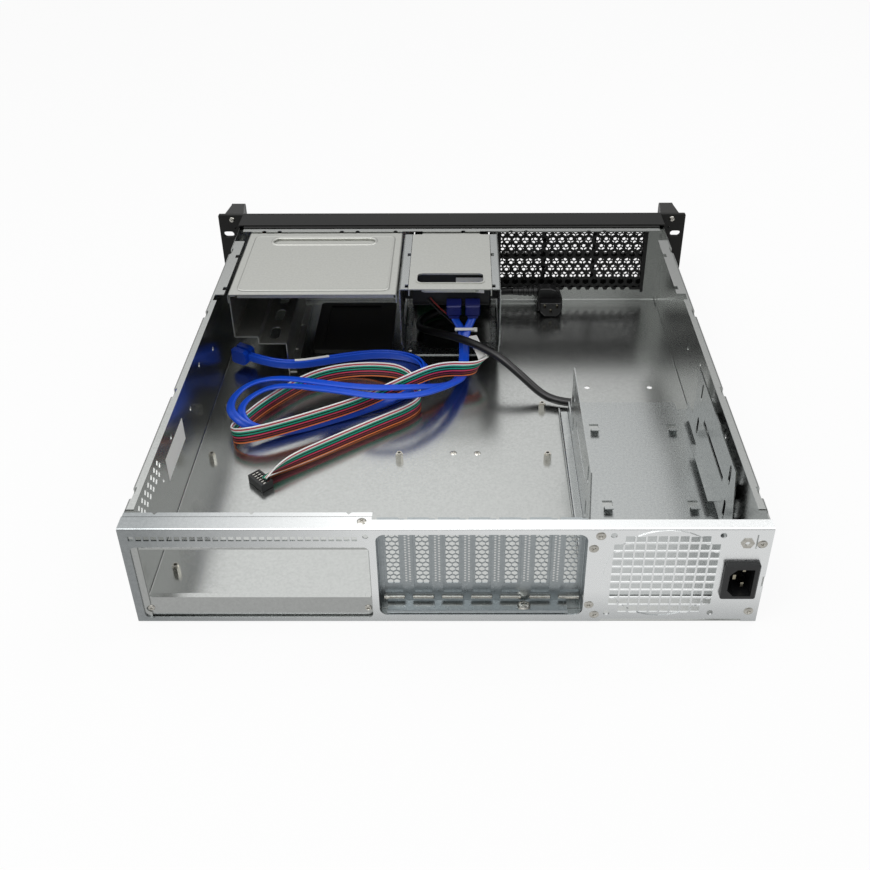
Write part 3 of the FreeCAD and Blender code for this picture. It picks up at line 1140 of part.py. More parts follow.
RIBBON_ROUTE = (
    (30.3, 301.0, 22.0, 45, 0), (26.6, 291.8, 20.8, 75, 0), (15.5, 287.5, 20.8, 90, 0), (-1.0, 285.0, 23.0, 90, 0),
    (-17.0, 275.0, 26.4, 90, 0), (-34.0, 261.5, 26.7, 90, 0),
    (-56.0, 250.5, 22.0, 90, 0), (-82.0, 235.0, 18.8, 90, 0), (-111.0, 219.5, 18.0, 90, 0),
    (-139.0, 204.5, 18.0, 90, 0), (-163.0, 194.0, 17.5, 90, 0), (-181.0, 195.0, 13.5, 90, 0),
    (-188.0, 206.0, 9.4, 90, 0), (-180.0, 222.0, 9.2, 90, 0), (-168.0, 244.0, 9.2, 90, 0),
    (-150.0, 268.0, 9.2, 90, 0), (-130.0, 289.0, 9.2, 90, 0), (-108.0, 301.0, 9.2, 90, 0),
    (-82.0, 305.0, 9.6, 90, 0), (-61.0, 299.5, 12.5, 90, 0), (-46.0, 289.5, 16.6, 90, 0),
    (-34.5, 277.0, 17.2, 90, 0), (-28.0, 264.5, 10.8, 90, 0), (-25.5, 251.0, 9.3, 90, 0),
    (-36.0, 237.5, 9.2, 90, 0), (-56.0, 223.5, 9.2, 90, 0),
    (-80.0, 206.0, 9.2, 90, 0), (-105.0, 187.0, 9.2, 90, 0), (-128.0, 170.0, 9.2, 85, 0), (-143.0, 157.5, 8.4, 60, 0),
    (-152.0, 148.5, 7.2, 25, 0))
SLEEVE_ROUTE = ((20.6, 333.5, 26.5, 0, 0), (25.5, 319.5, 24.4, 15, 0), (30.4, 303.4, 22.3, 40, 0))
SLEEVE_W = 8.0
SLEEVE_T = 4.2

MAINS_ROUTE = (
    (62.6, 433.0, 21.0), (45.0, 436.6, 19.0), (24.0, 433.0, 13.0), (-4.0, 421.0, 8.0), (-28.0, 404.0, 7.5),
    (-34.0, 380.0, 9.5), (-16.0, 353.0, 20.5), (12.0, 321.0, 32.5), (42.0, 294.5, 33.0), (65.0, 276.5, 20.5),
    (83.0, 264.0, 8.5), (101.0, 254.0, 6.0))
EARTH_ROUTE = ((198.7, 5.5, 72.0), (197.5, 11.0, 66.0), (199.5, 18.0, 59.0), (201.0, 27.0, 52.5), (198.5, 33.0, 47.0))
THIN_WIRES = (
    ((-20.0, 365.1, 52.0), (-14.5, 362.8, 46.0), (-7.0, 360.2, 39.5), (1.0, 357.0, 33.5), (8.0, 353.2, 28.2),
     (13.8, 349.0, 23.0), (19.0, 342.8, 22.8), (20.6, 335.4, 25.4)),
    ((-23.0, 365.1, 50.0), (-17.0, 362.6, 43.8), (-9.3, 360.0, 37.3), (-1.3, 357.0, 31.3), (6.0, 353.4, 26.0),
     (12.2, 349.2, 21.0), (17.3, 343.2, 20.8), (20.6, 335.8, 23.4)))
PLUG_W = 14.0
PLUG_T = 6.0
PLUG_L = 16.0


def sata_rows(index):
    """One lead's rows with its own side of the shared route."""
    start = (SATA_START_A, SATA_START_B)[index]
    side = PAIR_SHIFT if index == 0 else -PAIR_SHIFT
    return [row + (0.0,) for row in start] + [row[:4] + (side * row[4],) for row in SATA_PAIR]


def sata_lead(index):
    return flat_lead("sata_lead_%s" % "ab"[index], sata_rows(index), LEAD_W, LEAD_T)


def sata_dock_plug(index):
    """Right-angled plug on the rear of the dock."""
    x = (3.0, 21.0)[index]
    y0, y1 = ahead(349.8), ahead(DOCK_REAR - 1.2) - FIT / 2
    head = block(x - PLUG_W / 2, x + PLUG_W / 2, y0, y1, 40.5, 51.0)
    neck = prism([V(x - 5.4, y0, 40.5), V(x - 4.6, y0, 37.8), V(x + 4.6, y0, 37.8), V(x + 5.4, y0, 40.5)],
                 V(0, 6.4, 0))
    edges = [e for e in head.Edges if abs(e.CenterOfMass.y - y0) < 1e-6]
    return head.makeChamfer(1.0, edges).fuse(neck).removeSplitter()


def sata_free_plug(index):
    """Straight plug on the free end: body with a tapered shoulder and ribs, standing on edge."""
    places, points, radii = stations(sata_rows(index))
    along = (points[-1] - points[-2]).normalize()
    side = PAIR_SHIFT if index == 0 else -PAIR_SHIFT
    level = V(0, 0, 1).cross(along).normalize()
    start = points[-1] + level * (-side * 2.45) + along * 0.2
    half_t = PLUG_T / 2 - 0.05
    outline = [(0, 5.0), (3.0, PLUG_W / 2), (PLUG_L, PLUG_W / 2), (PLUG_L, -PLUG_W / 2 + 1.5),
               (PLUG_L - 2.0, -PLUG_W / 2), (3.0, -PLUG_W / 2), (0, -5.0)]
    upward = along.cross(level)
    corners = [start + along * a + upward * b + level * -half_t for a, b in outline]
    body = prism(corners, level * (2 * half_t))
    mouth = [start + along * a + upward * b + level * -1.2
             for a, b in ((PLUG_L - 5.0, 5.2), (PLUG_L + 1, 5.2), (PLUG_L + 1, -5.2), (PLUG_L - 5.0, -5.2))]
    return body.cut(prism(mouth, level * 2.4))


def sleeve(places, width, thickness, wall, play):
    """Thin sleeve round a flat lead between two of its stations."""
    inner = strip(places, width + 2 * play, thickness + 2 * play, 1.0)
    return strip(places, width + 2 * (play + wall), thickness + 2 * (play + wall)).cut(inner)


def sata_band():
    """White sleeve of heat-shrink round the pair beside the bay."""
    rows = [row[:4] + (0.0,) for row in SATA_PAIR]
    places = stations(rows)[0]
    first = 3 * 13 - 1
    return sleeve(places[first:first + 4], LEAD_W, 2 * PAIR_SHIFT + LEAD_T, 0.35, 0.25)


def zip_tie():
    """Cable tie round both leads under the dock, with its small lock."""
    middle = V(13.0, ahead(344.4), 28.3)
    ring = block(-9.1, 9.1, -4.9, 4.9, -1.25, 1.25).cut(block(-8.1, 8.1, -3.9, 3.9, -2.0, 2.0))
    lock = block(9.1, 12.2, -2.2, 2.2, -1.9, 1.9)
    tie = ring.fuse(lock).removeSplitter()
    tie.rotate(V(0, 0, 0), V(1, 0, 0), -40)
    tie.translate(middle)
    return tie


def ribbon_lead():
    return flat_lead("ribbon_lead", list(RIBBON_ROUTE), RIBBON_W, RIBBON_T)


def ribbon_sleeve():
    """White sleeve that gathers the wires between the dock and the ribbon."""
    return strip(stations(list(SLEEVE_ROUTE))[0], SLEEVE_W, SLEEVE_T)


def ribbon_header():
    """Black two-row header on the end of the ribbon."""
    places, points, radii = stations(list(RIBBON_ROUTE))
    along = points[-1] - points[-2]
    along.z = 0
    along = along.normalize()
    level = V(0, 0, 1).cross(along).normalize()
    start = points[-1] + along * 0.3
    low = 1.3
    start.z = low
    corners = [start + level * (s * 10.0) + along * a for s, a in ((1, 0), (1, 6.0), (-1, 6.0), (-1, 0))]
    body = prism(corners, V(0, 0, 9.0))
    holes = []
    for i in range(6):
        centre = start + level * (-7.0 + 2.8 * i) + along * 5.0
        for z in (low + 2.2, low + 5.4):
            holes.append(prism([centre + level * -0.5 + V(0, 0, z - low), centre + level * 0.5 + V(0, 0, z - low),
                                centre + level * 0.5 + V(0, 0, z - low + 1.0),
                                centre + level * -0.5 + V(0, 0, z - low + 1.0)], along * 2.0))
    return cut(body, holes)


def mains_plug():
    """Angled three-pin connector for the power supply, lying on the floor, with its strain relief."""
    y0 = ahead(413.0)
    face = [V(90.5, y0, 17.5), V(112.5, y0, 17.5), V(112.5, y0, 6.5), V(108.0, y0, 2.0), V(95.0, y0, 2.0),
            V(90.5, y0, 6.5)]
    nose = prism(face, V(0, 16.0, 0))
    rear = [V(88.0, y0 + 10, 2.0), V(88.0, y0 + 10, 19.0), V(88.0, y0 + 16, 30.0), V(88.0, y0 + 22.5, 30.0),
            V(88.0, y0 + 22.5, 2.0)]
    body = prism(rear, V(27.0, 0, 0))
    contacts = [block(x - 1.2, x + 1.2, y0 - 1, y0 + 9.0, z - 2.4, z + 2.4)
                for x, z in ((95.5, 8.5), (107.5, 8.5), (101.5, 13.0))]
    relief = []
    axis = V(-1, 0, 0)
    for i in range(5):
        relief.append(bar(V(88.3 - 4.6 * i, ahead(433.0), 21.0), axis, 5.4 - 0.22 * i, 3.2, 12))
    relief.append(bar(V(89.0, ahead(433.0), 21.0), axis, 4.3, 25.4, 12))
    solid = fused([nose, body] + relief)
    return cut(solid, contacts)


def main():
    os.makedirs("parts", exist_ok=True)
    save("chassis_tub", tub())
    save("rear_panel", rear_panel())
    save("io_window_frame", io_window_frame())
    save("slot_frame", slot_frame())
    for i in range(SLOTS):
        save("slot_cover_%d" % (i + 1), slot_cover(i))
    save("slot_cover_screws", slot_cover_screws())
    save("inlet_housing", inlet_housing())
    save("inlet_pins", inlet_pins())
    save("earth_stud", earth_stud())
    save("psu_cradle", cradle())
    save("front_wall", front_wall())
    save("wall_mesh", wall_mesh())
    save("bezel_frame", bezel_frame())
    save("front_plate", front_plate())
    save("bezel_mesh", bezel_mesh())
    save("handle_left", handle(-1))
    save("handle_right", handle(1))
    save("handle_screws", handle_screws())
    save("power_button", push_button(POWER_X, POWER_D, POWER_TRAVEL, 24))
    save("reset_button", push_button(RESET_X, RESET_D, RESET_TRAVEL, 16))
    save("control_board", control_board())
    save("lamp_lenses", lamp_lenses())
    save("optical_cover", optical_cover())
    save("optical_bracket", optical_bracket())
    save("bay_tray", bay_tray())
    save("bay_blank", bay_blank())
    save("drive_cage", drive_cage())
    save("cage_top_plate", cage_top_plate())
    save("dock_housing", dock_housing())
    save("dock_label", dock_label())
    save("board_standoffs", board_standoffs())
    save("rear_screws", rear_screws())
    save("ledge_screw", ledge_screw())
    save("cage_screws", cage_screws())
    save("side_label", side_label())
    save("sata_lead_a", sata_lead(0))
    save("sata_lead_b", sata_lead(1))
    save("ribbon_lead", ribbon_lead())
    save("mains_lead", tube("mains_lead", MAINS_ROUTE, MAINS_D, 12))
    save("earth_wire", tube("earth_wire", EARTH_ROUTE, EARTH_D, 8))
    save("dock_wires", [tube("dock_wires", rows, THIN_WIRE_D, 6) for rows in THIN_WIRES])
    save("sata_plug_dock_a", sata_dock_plug(0))
    save("sata_plug_dock_b", sata_dock_plug(1))
    save("sata_plug_free_a", sata_free_plug(0))
    save("sata_plug_free_b", sata_free_plug(1))
    save("sata_band", sata_band())
    save("zip_tie", zip_tie())
    save("ribbon_sleeve", ribbon_sleeve())
    save("ribbon_header", ribbon_header())
    save("mains_plug", mains_plug())


main()
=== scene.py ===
# %% [markdown]
# # Dressing an empty rack case
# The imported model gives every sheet, screw and lead its place. This lesson adds what the eye wants on top:
# finishes that start from the real metals and plastics, leads that lie in smooth curves, and the fine
# punched fields that plain solids keep coarse. All lengths come in millimetres and are turned to metres once.

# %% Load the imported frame
import math

import bmesh
import bpy
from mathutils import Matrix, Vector


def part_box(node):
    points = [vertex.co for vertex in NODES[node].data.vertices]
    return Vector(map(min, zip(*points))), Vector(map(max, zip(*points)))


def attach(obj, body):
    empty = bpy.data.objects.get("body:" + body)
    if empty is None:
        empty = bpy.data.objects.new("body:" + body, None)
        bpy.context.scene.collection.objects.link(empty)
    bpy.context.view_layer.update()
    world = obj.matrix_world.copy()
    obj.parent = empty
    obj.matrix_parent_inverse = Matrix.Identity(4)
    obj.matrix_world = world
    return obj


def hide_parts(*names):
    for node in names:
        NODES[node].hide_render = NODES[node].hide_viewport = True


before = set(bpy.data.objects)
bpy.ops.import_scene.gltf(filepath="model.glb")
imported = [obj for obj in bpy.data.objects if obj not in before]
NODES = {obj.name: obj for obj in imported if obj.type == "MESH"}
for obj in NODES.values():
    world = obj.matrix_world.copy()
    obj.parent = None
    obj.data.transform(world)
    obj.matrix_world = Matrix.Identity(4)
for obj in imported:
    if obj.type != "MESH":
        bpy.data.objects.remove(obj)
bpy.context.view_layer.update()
MM = 0.001
REAR = -225.0         # the rear panel's outer face


def ahead(distance):
    """Y of a place that lies this many millimetres ahead of the rear panel, in metres."""
    return (REAR + distance) * MM


def at(x, distance, z):
    return Vector((x * MM, ahead(distance), z * MM))


# %% [markdown]
# The view stands behind the case, above its rear edge, and looks forward and down into it. A camera's axes
# are the columns of its matrix: right, up, and backwards. Working them out from a pitch, a turn and a small
# roll keeps each angle as one number that can be read and changed.

# %% Camera
PITCH, TURN, ROLL = math.radians(33.68), math.radians(-0.41), math.radians(-0.31)


def camera_axes(pitch, turn, roll):
    """Right, up and backward directions of a camera that looks along +Y when every angle is zero."""
    forward = Vector((math.sin(turn) * math.cos(pitch), math.cos(turn) * math.cos(pitch), -math.sin(pitch)))
    right = Vector((math.cos(turn), -math.sin(turn), 0.0))
    up = right.cross(forward)
    return right * math.cos(roll) + up * math.sin(roll), up * math.cos(roll) - right * math.sin(roll), -forward


lens = bpy.data.cameras.new("view")
lens.lens = 42.87
lens.shift_x = -0.0260
lens.shift_y = -0.0732
viewer = bpy.data.objects.new("view", lens)
bpy.context.scene.collection.objects.link(viewer)
for column, axis in enumerate(camera_axes(PITCH, TURN, ROLL)):
    for row in range(3):
        viewer.matrix_world[row][column] = axis[row]
viewer.location = (0.01234, -0.72947, 0.54618)
bpy.context.scene.camera = viewer
bpy.context.scene.view_settings.view_transform = "Standard"
print("camera", tuple(round(v, 4) for v in viewer.location))

# %% [markdown]
# Two helpers carry every finish. One turns the hex colours that people write into the linear values that a
# renderer adds up. The other adds a node with its settings and its links in one call.

# %% Helpers for materials


def linear(code):
    """sRGB hex colour as linear red, green, blue and alpha."""
    shares = [int(code[i:i + 2], 16) / 255 for i in (1, 3, 5)]
    return tuple(c / 12.92 if c <= 0.04045 else ((c + 0.055) / 1.055) ** 2.4 for c in shares) + (1.0,)


def add(tree, kind, settings=(), links=()):
    """One node: settings are (name, value) of an input or a property, links are (input, socket)."""
    made = tree.nodes.new(kind)
    for name, value in settings:
        if isinstance(name, int) or name in made.inputs:
            made.inputs[name].default_value = value
        else:
            setattr(made, name, value)
    for name, socket in links:
        tree.links.new(socket, made.inputs[name])
    return made


def material(name, colour, metallic=0.0, roughness=0.5):
    """New material with a Principled shader; returns the material, its tree and the shader."""
    made = bpy.data.materials.new(name)
    made.use_nodes = True
    shader = made.node_tree.nodes["Principled BSDF"]
    shader.inputs["Base Color"].default_value = linear(colour)
    shader.inputs["Metallic"].default_value = metallic
    shader.inputs["Roughness"].default_value = roughness
    return made, made.node_tree, shader


def grain(tree, size_mm, stretch=(1.0, 1.0, 1.0), detail=3.0):
    """Noise on object coordinates whose cells are about this many millimetres, stretched along some axes."""
    place = add(tree, "ShaderNodeTexCoord")
    scaled = add(tree, "ShaderNodeMapping", [("Scale", stretch)], [("Vector", place.outputs["Object"])])
    return add(tree, "ShaderNodeTexNoise", [("Scale", 1.0 / (size_mm * MM)), ("Detail", detail)],
               [("Vector", scaled.outputs["Vector"])])


def between(tree, socket, low, high, start=0.35, end=0.65):
    """Maps a noise value onto a range."""
    made = add(tree, "ShaderNodeMapRange", [("From Min", start), ("From Max", end), ("To Min", low), ("To Max", high)],
               [("Value", socket)])
    return made.outputs["Result"]


def blend_colours(tree, factor, first, second):
    made = add(tree, "ShaderNodeMix", [("data_type", "RGBA")], [(0, factor)])
    made.inputs[6].default_value = linear(first)
    made.inputs[7].default_value = linear(second)
    return made.outputs[2]


def bump(tree, shader, height, distance_mm, strength=1.0):
    made = add(tree, "ShaderNodeBump", [("Strength", strength), ("Distance", distance_mm * MM)], [("Height", height)])
    tree.links.new(made.outputs["Normal"], shader.inputs["Normal"])


# %% [markdown]
# The tub is electro-galvanised steel: cold-rolled sheet with a thin zinc layer. Zinc from a bath of salts is
# even and bright, so it mirrors softly, and the rolling leaves very fine streaks along the sheet. The streaks
# are a stretched noise that moves the roughness a little. A finer noise, 2 mm across, stands for zinc crystals.

# %% Steel finishes


def zinc_steel(name, colour, cloudy, low, high, streak_mm=0.6):
    """Zinc-plated sheet: two close greys in crystals of 2 mm, fine rolling streaks, and a soft mirror."""
    made, tree, shader = material(name, colour, 1.0)
    clouds = grain(tree, 2.0, detail=3.0)
    streaks = grain(tree, streak_mm, (1.0, 0.03, 1.0), 2.0)
    tree.links.new(blend_colours(tree, between(tree, clouds.outputs["Fac"], 0.0, 1.0), colour, cloudy),
                   shader.inputs["Base Color"])
    mixed = add(tree, "ShaderNodeMath", [("operation", "MULTIPLY_ADD"), (1, 0.5)],
                [(0, streaks.outputs["Fac"]), (2, clouds.outputs["Fac"])])
    tree.links.new(between(tree, mixed.outputs["Value"], low, high, 0.5, 1.0), shader.inputs["Roughness"])
    bump(tree, shader, streaks.outputs["Fac"], 0.01, 0.1)
    return made


TUB_STEEL = zinc_steel("electro_galvanised_steel", "#BABCBA", "#B5B7B5", 0.2, 0.26)
CRADLE_STEEL = zinc_steel("galvanised_cradle_steel", "#B9BCBB", "#B1B4B4", 0.24, 0.32)
COVER_STEEL = zinc_steel("satin_galvanised_cover", "#C7C8C3", "#C1C2BD", 0.36, 0.42, 0.9)
SLOT_STEEL = zinc_steel("dull_galvanised_slot_steel", "#ABB1B3", "#A3A9AB", 0.26, 0.34)
SCREW_STEEL = zinc_steel("nickelled_screw_steel", "#CFCDC6", "#B9B6AE", 0.18, 0.28)
print("steels", [m.name for m in bpy.data.materials][-4:])

# %% [markdown]
# Between the expansion slots the wall carries double rows of tiny punched holes, far too many to cut. They
# are painted by arithmetic on the object's own coordinates: the place is wrapped at the slot pitch and at the
# row pitch, and a small circle in each cell is painted pale. This is painted light that stands for the bright
# floor seen through each hole. It stays put when the view moves.

# %% Punched slot wall
SLOT_PITCH = 20.32
SLOT_FIRST_X = -36.4
SLOTS = 7
DOT_PITCH = 2.4
DOT_RADIUS = 0.75


def math_node(tree, operation, first, second=None, third=None):
    """Math node whose inputs are sockets or numbers."""
    made = add(tree, "ShaderNodeMath", [("operation", operation)])
    for place, value in enumerate((first, second, third)):
        if value is None:
            continue
        if isinstance(value, (int, float)):
            made.inputs[place].default_value = value
        else:
            tree.links.new(value, made.inputs[place])
    return made.outputs["Value"]


def dot_column(tree, x, z, centre_mm, rise_mm):
    """1 inside a column of small circles about centre_mm from each bar's middle, else 0."""
    across = math_node(tree, "WRAP", math_node(tree, "SUBTRACT", x, (SLOT_FIRST_X + SLOT_PITCH / 2 + centre_mm) * MM),
                       SLOT_PITCH / 2 * MM, -SLOT_PITCH / 2 * MM)
    upward = math_node(tree, "WRAP", math_node(tree, "SUBTRACT", z, rise_mm * MM), DOT_PITCH / 2 * MM, -DOT_PITCH / 2 * MM)
    square = math_node(tree, "ADD", math_node(tree, "MULTIPLY", across, across),
                       math_node(tree, "MULTIPLY", upward, upward))
    return math_node(tree, "LESS_THAN", square, (DOT_RADIUS * MM) ** 2)


def punched_wall():
    made = zinc_steel("punched_slot_wall_steel", "#ABB1B3", "#A3A9AB", 0.26, 0.34)
    tree = made.node_tree
    shader = tree.nodes["Principled BSDF"]
    place = add(tree, "ShaderNodeSeparateXYZ", (), [("Vector", add(tree, "ShaderNodeTexCoord").outputs["Object"])])
    x, z = place.outputs["X"], place.outputs["Z"]
    dots = math_node(tree, "MAXIMUM", dot_column(tree, x, z, -1.3, 28.0), dot_column(tree, x, z, 1.3, 28.0 + DOT_PITCH / 2))
    inside = math_node(tree, "MULTIPLY", math_node(tree, "GREATER_THAN", z, 27.0 * MM),
                       math_node(tree, "LESS_THAN", z, 72.0 * MM))
    inside = math_node(tree, "MULTIPLY", inside, math_node(tree, "LESS_THAN", x, 86.0 * MM))
    inside = math_node(tree, "MULTIPLY", inside, math_node(tree, "GREATER_THAN", x, -30.0 * MM))
    # Painted light: the pale circles stand for the lit floor seen through the holes.
    seen_floor_mask = math_node(tree, "MULTIPLY", dots, inside)
    steel = shader.inputs["Base Color"].links[0].from_socket
    paint = add(tree, "ShaderNodeMix", [("data_type", "RGBA")], [(0, seen_floor_mask), (6, steel)])
    paint.inputs[7].default_value = linear("#E2E3E1")
    tree.links.new(paint.outputs[2], shader.inputs["Base Color"])
    return made


SLOT_WALL_STEEL = punched_wall()


def rear_panel_steel_painted_light():
    """Painted light on zinc sheet: a painted highlight turns it near white towards its fan end at +x, and painted shade
    keeps its window end and its foot darker.
    """
    made = zinc_steel("galvanised_panel_steel_painted_light", "#A1A5A6", "#9A9E9F", 0.24, 0.32)
    tree = made.node_tree
    shader = tree.nodes["Principled BSDF"]
    place = add(tree, "ShaderNodeSeparateXYZ", (), [("Vector", add(tree, "ShaderNodeTexCoord").outputs["Object"])])
    # Painted highlight rising towards +x, held back near the foot as painted shade.
    share = math_node(tree, "MULTIPLY", between(tree, place.outputs["X"], 0.0, 1.0, -200.0 * MM, -50.0 * MM),
                      between(tree, place.outputs["Z"], 0.4, 1.0, 0.0, 30.0 * MM))
    paint = add(tree, "ShaderNodeMix", [("data_type", "RGBA")],
                [(0, share), (6, shader.inputs["Base Color"].links[0].from_socket)])
    paint.inputs[7].default_value = linear("#FAFCFC")
    tree.links.new(paint.outputs[2], shader.inputs["Base Color"])
    return made


PANEL_STEEL_PAINTED_LIGHT = rear_panel_steel_painted_light()

# %% [markdown]
# The front is painted black in powder coat: the powder melts into a skin with a faint orange peel, about a
# millimetre from bump to bump. Cast handles wear the same paint, a little glossier. Moulded plastics get a
# fine spark-eroded texture, and flexible PVC on the leads is smooth with a broad, waxy highlight.

# %% Paint, plastic and board finishes


def textured(name, colour, roughness, size_mm, depth_mm, strength=0.4):
    """Even colour with a fine bump, and a roughness that wanders a little with it."""
    made, tree, shader = material(name, colour, 0.0, roughness)
    skin = grain(tree, size_mm)
    tree.links.new(between(tree, skin.outputs["Fac"], roughness - 0.05, roughness + 0.06), shader.inputs["Roughness"])
    bump(tree, shader, skin.outputs["Fac"], depth_mm, strength)
    return made


BLACK_PAINT = textured("black_powder_coat", "#131312", 0.46, 0.9, 0.05)
BLACK_PAINT.node_tree.nodes["Principled BSDF"].inputs["Specular IOR Level"].default_value = 0.27
MESH_PAINT = textured("black_painted_mesh", "#070707", 0.55, 0.9, 0.03)
HANDLE_PAINT = textured("black_painted_casting", "#1A1918", 0.4, 1.2, 0.05)
INLET_PLASTIC = textured("moulded_black_polyamide", "#1A1B1C", 0.4, 0.4, 0.03)
BUTTON_PLASTIC = textured("moulded_grey_abs", "#3A3B3D", 0.35, 0.4, 0.02)
BLACK_PVC = textured("black_flexible_pvc", "#0F0F10", 0.33, 0.5, 0.02)
BLUE_PVC = textured("blue_flexible_pvc", "#0F4FD2", 0.34, 0.8, 0.02)
BLUE_PLASTIC = textured("blue_moulded_connector", "#0E46C4", 0.3, 0.4, 0.02)
# The dock's plugs are a darker blue than the free ones: partly a darker plastic, partly painted shade for the dim dock.
NAVY_SHADED_PLASTIC = textured("navy_connector_painted_shade", "#16206A", 0.34, 0.4, 0.02)
WHITE_SLEEVE = textured("white_heat_shrink", "#E9E9E6", 0.45, 0.7, 0.03)
NATURAL_NYLON = textured("white_nylon_tie", "#DFE0DC", 0.4, 0.5, 0.02)
LABEL_PAPER = textured("matt_white_label", "#ECECEA", 0.6, 0.3, 0.01)
BOARD_GREEN = textured("green_solder_resist", "#1C5A33", 0.3, 0.6, 0.02)
LENS = textured("smoked_lens_acrylic", "#6E7275", 0.12, 0.5, 0.005)
WIRE_RED = textured("dark_red_wire_pvc", "#7A1D1B", 0.38, 0.5, 0.02)
BRASS = zinc_steel("nickelled_brass_pins", "#A9A391", "#989280", 0.18, 0.28)

# %% [markdown]
# A ribbon is twelve round wires welded side by side, each in its own colour. The mesh carries a UV map whose
# first number runs across the wires, so a ramp with hard steps paints each wire once, however the ribbon
# turns. The earth lead is green with a yellow stripe that runs along it in the same way.

# %% Striped wire finishes
RIBBON_WIRES = ("#FF8644", "#0A0A0A", "#8E2A38", "#0A0A0A", "#F24A6E", "#0A0A0A",
                "#0FB494", "#0A0A0A", "#12C09A", "#FAFAF8", "#D80F38", "#FAFAF8")


def striped(name, colours):
    """Hard-edged stripes across the first UV number, first colour at zero."""
    made, tree, shader = material(name, colours[0], 0.0, 0.38)
    along = add(tree, "ShaderNodeSeparateXYZ", (), [("Vector", add(tree, "ShaderNodeUVMap").outputs["UV"])])
    ramp = add(tree, "ShaderNodeValToRGB", (), [("Fac", along.outputs["X"])])
    ramp.color_ramp.interpolation = "CONSTANT"
    for place, code in enumerate(colours):
        stop = ramp.color_ramp.elements[0] if place == 0 else ramp.color_ramp.elements.new(place / len(colours))
        stop.color = linear(code)
    ramp.color_ramp.elements.remove(ramp.color_ramp.elements[-1])
    tree.links.new(ramp.outputs["Color"], shader.inputs["Base Color"])
    skin = grain(tree, 0.8)
    bump(tree, shader, skin.outputs["Fac"], 0.02, 0.3)
    return made


RIBBON_PVC = striped("twelve_colour_ribbon_pvc", RIBBON_WIRES)
EARTH_PVC = striped("green_yellow_earth_pvc", ("#1E7A45", "#1E7A45", "#D9C22E", "#1E7A45", "#1E7A45", "#D9C22E"))

# %% [markdown]
# Every lead follows one smooth curve. The points are the corners of its route, and a NURBS spline of third
# order rounds them. A flat lead also has to know which way its broad side faces, so a second spline runs a
# little beside the first. The two are read at the same steps, and the line from one to the other is broad.

# %% Smooth routes


def nurbs_line(points, steps):
    """Places along the spline whose control points are given."""
    curve = bpy.data.curves.new("route", "CURVE")
    curve.dimensions = "3D"
    spline = curve.splines.new("NURBS")
    spline.points.add(len(points) - 1)
    for target, point in zip(spline.points, points):
        target.co = (*point, 1.0)
    spline.order_u = 3
    spline.use_endpoint_u = True
    spline.resolution_u = steps
    holder = bpy.data.objects.new("route", curve)
    bpy.context.scene.collection.objects.link(holder)
    mesh = bpy.data.meshes.new_from_object(holder.evaluated_get(bpy.context.evaluated_depsgraph_get()))
    found = [v.co.copy() for v in mesh.vertices]
    bpy.data.objects.remove(holder)
    bpy.data.curves.remove(curve)
    bpy.data.meshes.remove(mesh)
    return found


def directions(points, i):
    """Direction of travel, level side and upward side at one place of a line."""
    along = (points[min(i + 1, len(points) - 1)] - points[max(i - 1, 0)]).normalized()
    level = Vector((0, 0, 1)).cross(along).normalized()
    return along, level, along.cross(level)


def flat_line(rows, steps):
    """Centres, broad sides and thin sides along rows of (x, distance, z, tilt, shift)."""
    corners = [at(*row[:3]) for row in rows]
    centres, tips = [], []
    for i, row in enumerate(rows):
        along, level, upward = directions(corners, i)
        tilt = math.radians(row[3])
        broad = level * math.cos(tilt) + upward * math.sin(tilt)
        thin = along.cross(broad)
        centres.append(corners[i] + thin * (row[4] * MM))
        tips.append(centres[-1] + broad * 0.01)
    centres, tips = nurbs_line(centres, steps), nurbs_line(tips, steps)
    frames = []
    for i, (centre, tip) in enumerate(zip(centres, tips)):
        along = directions(centres, i)[0]
        broad = tip - centre
        broad = (broad - along * broad.dot(along)).normalized()
        frames.append((centre, broad, along.cross(broad)))
    return frames


def round_line(rows, steps):
    centres = nurbs_line([at(*row) for row in rows], steps)
    return [(centre, *directions(centres, i)[1:]) for i, centre in enumerate(centres)]


def clothe(name, frames, section, finish, smooth_angle=50):
    """Skin that carries a closed section of (broad, thin) millimetres along frames; UV runs across and along."""
    mesh = bpy.data.meshes.new(name)
    count = len(section)
    places = [c + b * (u * MM) + t * (v * MM) for c, b, t in frames for u, v in section]
    faces = []
    for ring in range(len(frames) - 1):
        for k in range(count):
            n = (k + 1) % count
            faces.append((ring * count + k, (ring + 1) * count + k, (ring + 1) * count + n, ring * count + n))
    faces.append(tuple(range(count)))
    faces.append(tuple(reversed(range((len(frames) - 1) * count, len(frames) * count))))
    mesh.from_pydata(places, [], faces)
    width = max(u for u, v in section) - min(u for u, v in section)
    lengths = [0.0]
    for (a, *_), (b, *_) in zip(frames, frames[1:]):
        lengths.append(lengths[-1] + (b - a).length)
    layer = mesh.uv_layers.new(name="across_along")
    for polygon in mesh.polygons:
        middle = sum(section[mesh.loops[i].vertex_index % count][0] for i in polygon.loop_indices) / len(
            polygon.loop_indices)
        for i in polygon.loop_indices:
            vertex = mesh.loops[i].vertex_index
            u = section[vertex % count][0] * 0.02 + middle * 0.98
            layer.data[i].uv = (min(0.999, max(0.001, u / width + 0.5)), lengths[vertex // count] / 0.01)
        polygon.use_smooth = True
    mesh.materials.append(finish)
    made = bpy.data.objects.new(name, mesh)
    bpy.context.scene.collection.objects.link(made)
    facing_out(mesh)
    mesh.set_sharp_from_angle(angle=math.radians(smooth_angle))
    return made


def facing_out(mesh):
    """Turns every face of a closed mesh outward."""
    shape = bmesh.new()
    shape.from_mesh(mesh)
    bmesh.ops.recalc_face_normals(shape, faces=shape.faces)
    shape.to_mesh(mesh)
    shape.free()


